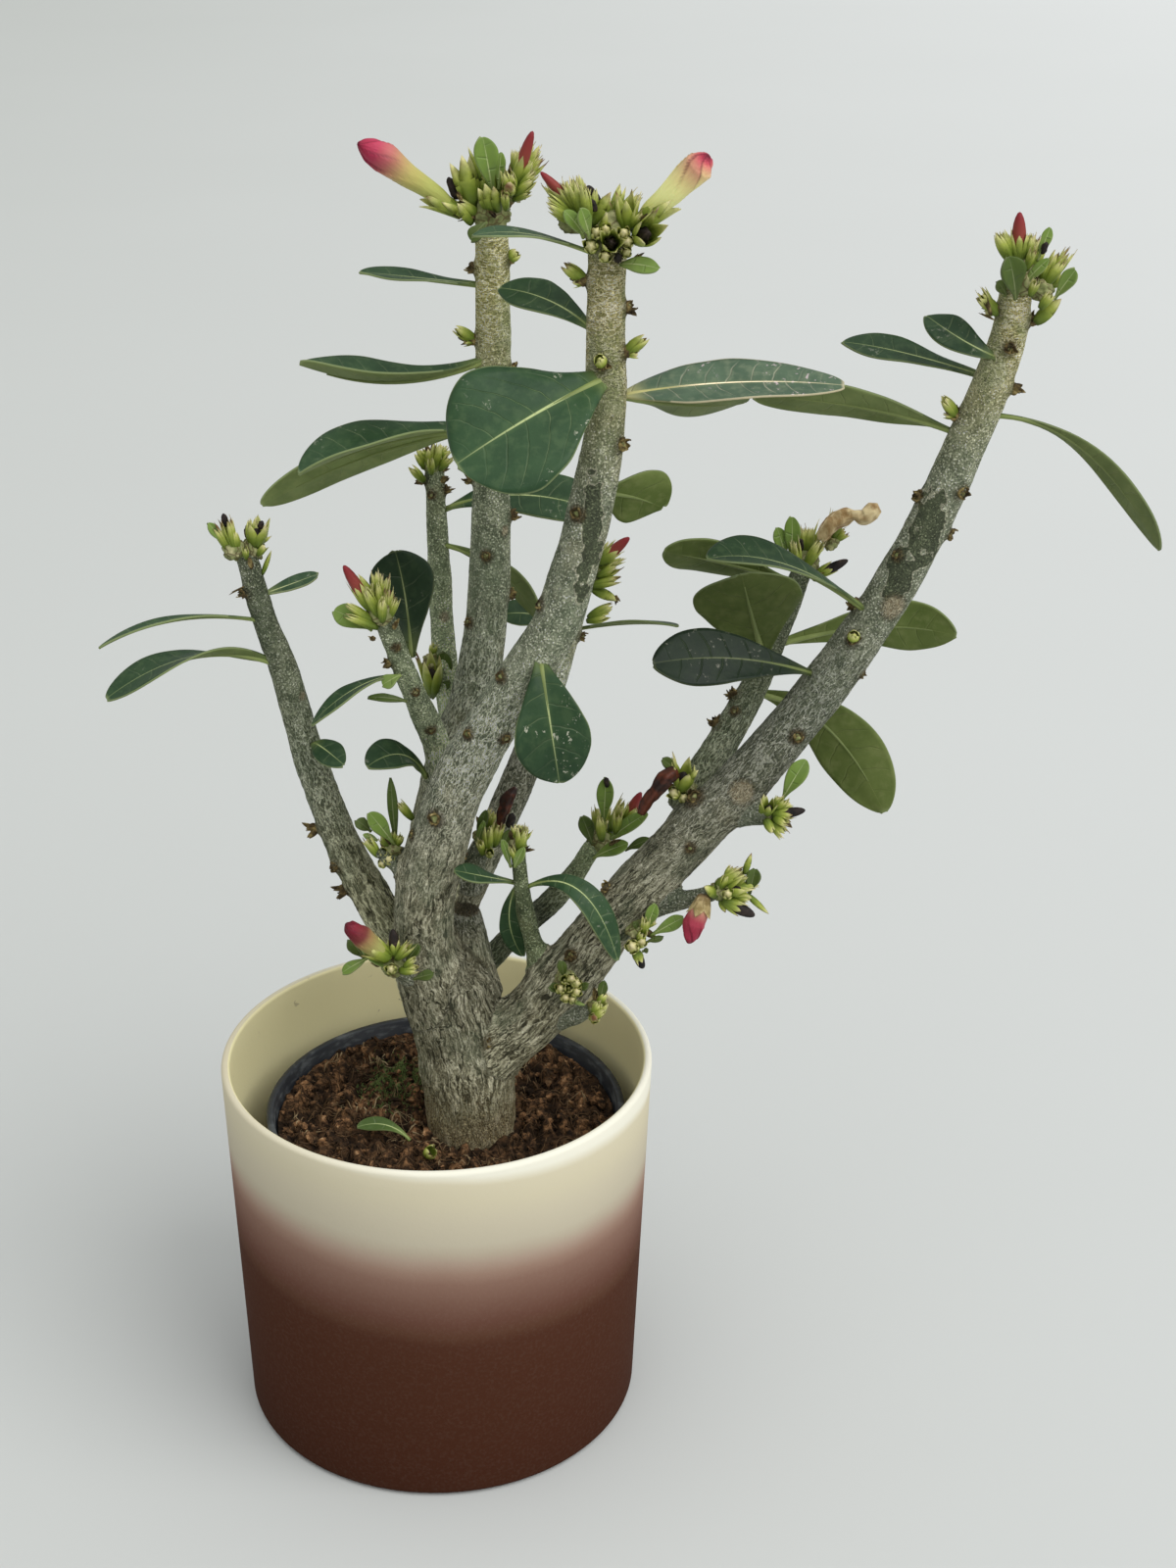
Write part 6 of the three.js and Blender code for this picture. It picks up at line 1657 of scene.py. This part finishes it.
def calyx(seed, height=1.0, bulge=0.3, mouth=0.1, awns=1):
    """A calyx of unit width: broad sepals that overlap, and a few thin ragged ones."""
    draw = random.Random(seed)
    bm, shade = shaded_bmesh()
    for number in range(SEPAL_COUNT + awns):
        broad = number < SEPAL_COUNT
        reach = height * (draw.uniform(0.84, 0.98) if broad else draw.uniform(0.9, 1.08))
        end = mouth * draw.uniform(0.5, 1.5)
        size = bulge * draw.uniform(0.92, 1.05)

        def path(place):
            swell = math.sin(math.pi * min(1.0, place * 0.78 + 0.1)) ** 0.8
            return 0.1 + size * swell * 1.05 + (end - 0.1) * place**3
        turn = (number if broad else number + draw.random()) / SEPAL_COUNT * math.tau
        turn += draw.uniform(-0.2, 0.2)
        wide = draw.uniform(0.46, 0.6) if broad else draw.uniform(0.16, 0.24)
        add_sepal(bm, shade, turn, reach, wide, path, (0.0, 0.95 if broad else 1.15),
                  draw.uniform(-0.07, 0.07))
    bmesh.ops.solidify(bm, geom=bm.faces[:], thickness=0.035)
    return bm, shade


def dried_template(name, seed):
    """Torn dry scales in a small bunch, of unit height."""
    draw = random.Random(seed)
    bm, shade = shaded_bmesh()
    for _ in range(5):
        lean = draw.uniform(-0.1, 0.5)
        swell = draw.uniform(0.05, 0.25)
        add_sepal(bm, shade, draw.uniform(0, math.tau), draw.uniform(0.5, 1.0), draw.uniform(0.4, 0.65),
                  lambda place: 0.05 + swell * math.sin(place * 3) + lean * place**2, (1.0, 1.0),
                  draw.uniform(-0.3, 0.3))
    bmesh.ops.solidify(bm, geom=bm.faces[:], thickness=0.06)
    paint(bm, DRIED)
    return template(name, bm)


def nub_template(name):
    """The low rim of dry scales that a fallen leaf or flower leaves, round a pale plug."""
    draw = random.Random(8)
    bm, shade = shaded_bmesh()
    for number in range(8):
        swell = draw.uniform(0.1, 0.22)
        add_sepal(bm, shade, (number + draw.random() * 0.6) / 8 * math.tau, draw.uniform(0.45, 1.0),
                  draw.uniform(0.26, 0.42), lambda place: 0.26 + swell * math.sin(place * 2.6), (1.0, 1.0))
    bmesh.ops.solidify(bm, geom=bm.faces[:], thickness=0.09)
    paint(bm, DRIED)
    add_core(bm, shade, 0.36, -0.4, 0.55, (0.2, 0.7), STUMP, 3, 0.2)
    return template(name, bm)


def shrivelled_template(name):
    """A black shrunken flower, of unit height."""
    bm, _ = shaded_bmesh()
    bmesh.ops.create_icosphere(bm, subdivisions=3, radius=1)
    for vert in bm.verts:
        crease = 1 + 0.45 * noise.noise(Vector((vert.co.x * 2.2, vert.co.y * 2.2, vert.co.z * 0.9)))
        rise = (vert.co.z + 1) / 2
        vert.co = Vector((vert.co.x * 0.4 * crease, vert.co.y * 0.4 * crease, rise))
    paint(bm, BLACKENED_AND_CUP_SHADE)
    return template(name, bm)


def unit_templates():
    """The small parts of the heads, each standing on the origin along +Z, of unit height and width."""
    made = {}
    for kind, (sepals, core) in CALYXES.items():
        bm, shade = calyx(*sepals)
        add_core(bm, shade, *core)
        made[kind] = template(kind, bm)
    bm, shade = shaded_bmesh()
    add_sepal(bm, shade, 0, 1.0, 0.95, lambda place: 0.22 * math.sin(place * 2.6) - 0.05)
    bmesh.ops.solidify(bm, geom=bm.faces[:], thickness=0.06)
    made["sepal"] = template("sepal", bm)
    made["nub"] = nub_template("nub")
    made["dry"] = dried_template("dry", 5)
    made["dark"] = shrivelled_template("dark")
    return made


def add_unit(bm, mesh, root, direction, length, width, spin):
    """A template stood at a root in millimetres, along a direction."""
    scale = Matrix.Diagonal((width * MM, width * MM, length * MM, 1))
    add_copy(bm, mesh, Matrix.Translation(root * MM) @ looking_along(direction, spin) @ scale)


TOWARDS_VIEWER = Vector((0, -0.75, 0.66))
LEAFLET_BELLIES = {"leaf": 2.1, "leaf_dark": 2.1, "blade": 1.35, "blade_dark": 1.35}


def head_finishes():
    upper, under = ((104, 130, 52), (126, 152, 72)), ((118, 138, 64), (134, 152, 80))
    young = leaf_finish("leaf_young", upper, under, 0.1)
    dried, blackened_and_cup_shade = mottled_finish("dried_scales"), mottled_finish("blackened_parts_and_cup_shade")
    return [sepal_finish(), dried, petal_finish(), blackened_and_cup_shade, stump_finish(), young, rib_finish()]


def build_heads():
    finishes = head_finishes()
    templates = unit_templates()
    for number, (name, parts) in enumerate(HEADS.items()):
        draw = random.Random(HEAD_SEED + number)
        bm, _ = shaded_bmesh()
        for part in parts:
            add_stump(bm, part)
            add_far_side(bm, templates, part, draw)
        leaves = leaf_mesh()
        for index, (kind, root, tip, width) in enumerate(HEAD_PARTS[name]):
            root, tip = Vector(root), Vector(tip)
            along = tip - root
            if kind in LEAFLET_BELLIES:
                across = along.cross(TOWARDS_VIEWER).normalized()
                face = across.cross(along).normalized()
                middle = root.lerp(tip, 0.5) + face * along.length * draw.uniform(0.03, 0.1)
                leaf = (root, middle, tip, width, tuple(face), draw.uniform(6, 24), 0, LEAFLET_BELLIES[kind])
                tone = 0.42 if kind.endswith("dark") else draw.uniform(0.85, 1.05)
                add_leaf(leaves, leaf, 16, 9, number + index * 0.7, tone, BLADE, STALK)
            else:
                if draw.random() < {"calyx": 0.5, "knob": 0.35}.get(kind, 0):
                    kind = "calyx_ragged"
                add_unit(bm, templates[kind], root, along.normalized(), along.length, width * 1.08,
                         spin_to_viewer(along) if kind == "sepal" else draw.uniform(0, 6))
        piece_from(f"{name}_buds", bm, finishes, [name])
        if leaves.verts:
            face_outwards(leaves)
            piece_from(f"{name}_leaflets", leaves, finishes, [name])
        else:
            leaves.free()
    build_withered()
    build_spurs(finishes, templates)
    for mesh in templates.values():
        bpy.data.meshes.remove(mesh)


def spin_to_viewer(along):
    """The spin that turns a single sepal's outer side towards the viewer."""
    local = looking_along(along.normalized()).to_3x3().inverted() @ TOWARDS_VIEWER
    return math.atan2(local.y, local.x)


def add_stump(bm, part):
    """The swollen, scarred end of the shoot that the buds grow from."""
    centre, core = Vector(part[0]), part[2]
    first, first_face = len(bm.verts), len(bm.faces)
    bmesh.ops.create_icosphere(bm, subdivisions=4, radius=core * MM * 0.84,
                               matrix=Matrix.Translation(centre * MM))
    for vert in fresh_verts(bm, first):
        spot = vert.co / MM
        out = (spot - centre) / core
        lumps = abs(noise.noise(spot * 0.5)) * 1.9 + noise.noise(spot * 1.2) * 0.5
        vert.co += out * (lumps - 0.4) * MM
    paint(bm, STUMP, first_face)


def add_far_side(bm, templates, part, draw):
    """Calyxes and scales on the side of a head that the front view doesn't show."""
    place, axis, core, reach, spread, buds = part
    centre, axis = Vector(place), Vector(axis).normalized()
    side = axis.cross(Vector((0.1, 1, 0.2))).normalized()
    for bud in range(buds * 4):
        share = (bud + 0.5) / (buds * 4)
        lean = math.radians(max(40, spread) * math.sqrt(share))
        direction = Matrix.Rotation(bud * SPIRAL, 3, axis) @ (Matrix.Rotation(lean, 3, side) @ axis)
        if direction.y < 0.12:
            continue
        length = reach * (1 - 0.45 * share) * draw.uniform(0.6, 0.9)
        kind = draw.choice(("calyx", "calyx_ragged", "calyx_ragged", "knob", "dry"))
        length = min(length, 5) if kind in ("knob", "dry") else length
        width = 3.0 if kind == "knob" else min(5.5, 2.4 + reach * 0.13)
        add_unit(bm, templates[kind], centre + direction * core * 0.55, direction, length, width,
                 draw.uniform(0, 6))


def build_withered():
    """Spent flowers: limp ribbed tubes, dark red or the colour of straw."""
    straw = withered_finish("straw_petals", (150, 118, 70), (226, 206, 158))
    dark = withered_finish("spent_petals", (34, 16, 10), (94, 44, 24))
    for name, stops in WITHERED_FLOWERS.items():
        bm = bmesh.new()
        frames = route_frames(stops, 30)
        rings = sweep(bm, frames, 24)
        for index, (ring, matrix) in enumerate(zip(rings, frames)):
            back = matrix.inverted()
            for vert in ring:
                local = back @ vert.co
                turn = math.atan2(local.y, local.x)
                fold = 1 + 0.14 * math.cos(5 * turn + index * 0.12) + 0.3 * noise.noise(vert.co / MM * 0.35)
                vert.co = matrix @ Vector((local.x * fold, local.y * fold, local.z))
        face_outwards(bm)
        petals = straw if name == "withered_upper" else dark
        piece_from(name, bm, [petals], [WITHERED_NODES[name]])


def build_spurs(finishes, templates):
    """Dry stalk ends, scales and small green buds on the limbs."""
    draw = random.Random(SPUR_SEED)
    bm, _ = shaded_bmesh()
    for limb, place, degrees, height, kind in SPURS:
        foot, out, tangent = spur_frame(limb, place, degrees)
        upward = (out + tangent * 0.7).normalized()
        wide = min(5.2, route_radius(LIMBS[limb], place) * 0.85)
        add_unit(bm, templates["nub"], foot - out * 0.3, (out + tangent * 0.25).normalized(),
                 min(height, 3.4), wide, draw.uniform(0, 6))
        if kind == "bud":
            add_unit(bm, templates["calyx"], foot, upward, height * 1.2, 4.8, draw.uniform(0, 6))
            add_unit(bm, templates["knob"], foot, (out - tangent * 0.1).normalized(), height * 0.6, 2.6,
                     draw.uniform(0, 6))
        for _ in range(3 if kind == "dry" else 2):
            spread = Vector((draw.gauss(0, 0.4), draw.gauss(0, 0.4), draw.gauss(0, 0.4)))
            direction = (out + tangent * 0.3 + spread).normalized()
            add_unit(bm, templates["dry"], foot - out * 0.3, direction,
                     height * draw.uniform(0.55, 0.95), draw.uniform(2.6, 4), draw.uniform(0, 6))
    for limb, place, degrees, radius, kind in LEAF_SCARS:
        foot, out, tangent = spur_frame(limb, place, degrees)
        if kind == "ring":
            add_unit(bm, templates["nub"], foot - out * 0.4, (out + tangent * 0.2).normalized(),
                     radius * draw.uniform(0.8, 1.3), radius * 2.1, draw.uniform(0, 6))
    piece_from("stem_spurs", bm, finishes, ["stem"])


# How much darker each of the five petals is towards its tip, and how much of red, green and blue that takes.
PETAL_COUNT = 5
PETAL_DEPTHS = (1.0, 0.1, 0.5, 0.0, 0.8)
DEPTH_BY_CHANNEL = (0.25, 0.5, 0.35)
PETAL_TWIST = 2.6
BUD_STEPS = 56
BUD_SIDES = 60


def build_flower_buds():
    """Closed buds: five petals furled round each other, in a calyx of green sepals."""
    petals = petal_finish("bud_petals", toned=True)
    sepals = sepal_finish()
    wilted_sepals = sepal_finish("wilted_sepals", wilted=0.8)
    for name, stops in FLOWER_BUDS.items():
        bm, shade = shaded_bmesh()
        lap = bm.verts.layers.float.new("lap")
        grain = bm.verts.layers.float_vector.new("grain")
        tone = bm.verts.layers.float_vector.new("tone")
        stations = [at for at, _ in BUD_COLOURS[name]]
        colours = np.array([tint(*colour)[:3] for _, colour in BUD_COLOURS[name]])
        frames = route_frames(stops, BUD_STEPS)
        rings = sweep(bm, frames, BUD_SIDES)
        for place, ring, matrix in zip(shares(BUD_STEPS), rings, frames):
            back = matrix.inverted()
            radius = route_radius(stops, place)
            colour = tuple(np.interp(place, stations, channel) for channel in colours.T)
            for vert in ring:
                local = back @ vert.co
                angle = math.atan2(local.y, local.x)
                petal = angle / math.tau * PETAL_COUNT + place * PETAL_TWIST
                turn = petal % 1.0
                open_up = min(1, max(0, place - 0.3) * 2.5)
                step = turn * 0.2 * open_up
                scale = 0.96 - 0.08 * open_up + step
                vert.co = matrix @ Vector((local.x * scale, local.y * scale, local.z))
                vert[shade] = place
                deep = PETAL_DEPTHS[math.floor(petal) % PETAL_COUNT] * min(1, max(0, place - 0.5) * 4)
                vert[tone] = [part * (1 - loss * deep) for part, loss in zip(colour, DEPTH_BY_CHANNEL)]
                vert[lap] = (max(0.0, 1 - turn / 0.16) + max(0.0, (turn - 0.95) / 0.05)) * open_up
                vert[grain] = (local.x * radius, local.y * radius, place * 30)
        face_outwards(bm)
        start, tangent = route_point(stops, 0.02), route_tangent(stops, 0.05)
        reach = CALYX_REACH[name]
        share = reach / route_length(stops)
        wide = route_radius(stops, share) * 1.35
        stand = Matrix.Translation(start * MM) @ looking_along(tangent) @ Matrix.Scale(MM, 4)

        def path(place):
            return route_radius(stops, place * share) * 1.02 + 0.35 + 0.5 * place**6
        for number in range(SEPAL_COUNT):
            first, first_face = len(bm.verts), len(bm.faces)
            add_sepal(bm, shade, number / SEPAL_COUNT * math.tau, reach, wide, path, (0.15, 0.9))
            for vert in fresh_verts(bm, first):
                vert.co = stand @ vert.co
            bm.faces.ensure_lookup_table()
            bmesh.ops.solidify(bm, geom=bm.faces[first_face:], thickness=0.25 * MM)
            paint(bm, 1, first_face)
        sleeve = wilted_sepals if name == "bud_low_right" else sepals
        piece_from(f"{name}_petals", bm, [petals, sleeve], [name])


# ---------------------------------------------------------------------------- stage

# Lamps: the way to each, the width in degrees of the sky that it stands for, and its strength.
DAYLIGHT = {"window_daylight": ((0.7, -0.5, 0.8), 50, 1.45), "ceiling_daylight": ((0.05, -0.35, 1), 80, 1.0)}
ROOM_COLOUR = (0.97, 0.99, 1.0, 1)
ROOM_STRENGTH = 0.5
# The camera: sensor width and lens in millimetres, tilt down and roll in degrees, place in metres.
SENSOR_WIDTH = 36
CAMERA_LENS = 54.135
CAMERA_TILT = 24.86
CAMERA_ROLL = 0.56
CAMERA_PLACE = (0.0483, -0.6615, 0.5307)


def build_floor():
    floor = bmesh.new()
    bmesh.ops.create_circle(floor, cap_ends=True, segments=96, radius=14)
    finish = Finish("studio_floor", roughness=0.9, specular=0.1)
    place = finish.place()
    cloud = finish.maths("SUBTRACT", finish.speckle(place, 2, detail=2), 0.5)
    across = finish.plus_scaled(finish.parts(place)[0], cloud, 0.2)
    # Darker to the left and paler to the right: painted light, as from the window on the right.
    finish.colour(finish.blend(finish.span(across, -2.2, 2.2), (179, 182, 177), (224, 226, 225)))
    piece = in_scene("studio_floor", saved_mesh("studio_floor", floor))
    piece.data.materials.append(finish.material)
    piece.location.z = -0.0005


def light_room():
    world = bpy.data.worlds.new("soft_room")
    bpy.context.scene.world = world
    world.use_nodes = True
    background = world.node_tree.nodes["Background"]
    background.inputs["Color"].default_value = ROOM_COLOUR
    background.inputs["Strength"].default_value = ROOM_STRENGTH
    bpy.context.scene.view_settings.view_transform = "Standard"
    for name, (towards, spread, strength) in DAYLIGHT.items():
        sun = bpy.data.lights.new(name, "SUN")
        sun.angle = math.radians(spread)
        sun.energy = strength
        in_scene(name, sun).rotation_euler = Vector(towards).to_track_quat("Z", "Y").to_euler()


def place_camera():
    camera = bpy.data.cameras.new("photo_camera")
    camera.sensor_width = SENSOR_WIDTH
    camera.lens = CAMERA_LENS
    camera.clip_start, camera.clip_end = 0.01, 60
    view = in_scene("photo_camera", camera)
    tilt, roll = math.radians(CAMERA_TILT), math.radians(CAMERA_ROLL)
    forward = Vector((0, math.cos(tilt), -math.sin(tilt)))
    level = Vector((1, 0, 0))
    over = level.cross(forward)
    right = level * math.cos(roll) + over * math.sin(roll)
    top = over * math.cos(roll) - level * math.sin(roll)
    turned = Matrix((right, top, -forward)).transposed().to_4x4()
    view.matrix_world = Matrix.Translation(CAMERA_PLACE) @ turned
    bpy.context.scene.camera = view


build_cachepot()
build_nursery_pot()
build_soil()
build_wood()
build_leaves()
build_heads()
build_flower_buds()
build_floor()
light_room()
place_camera()
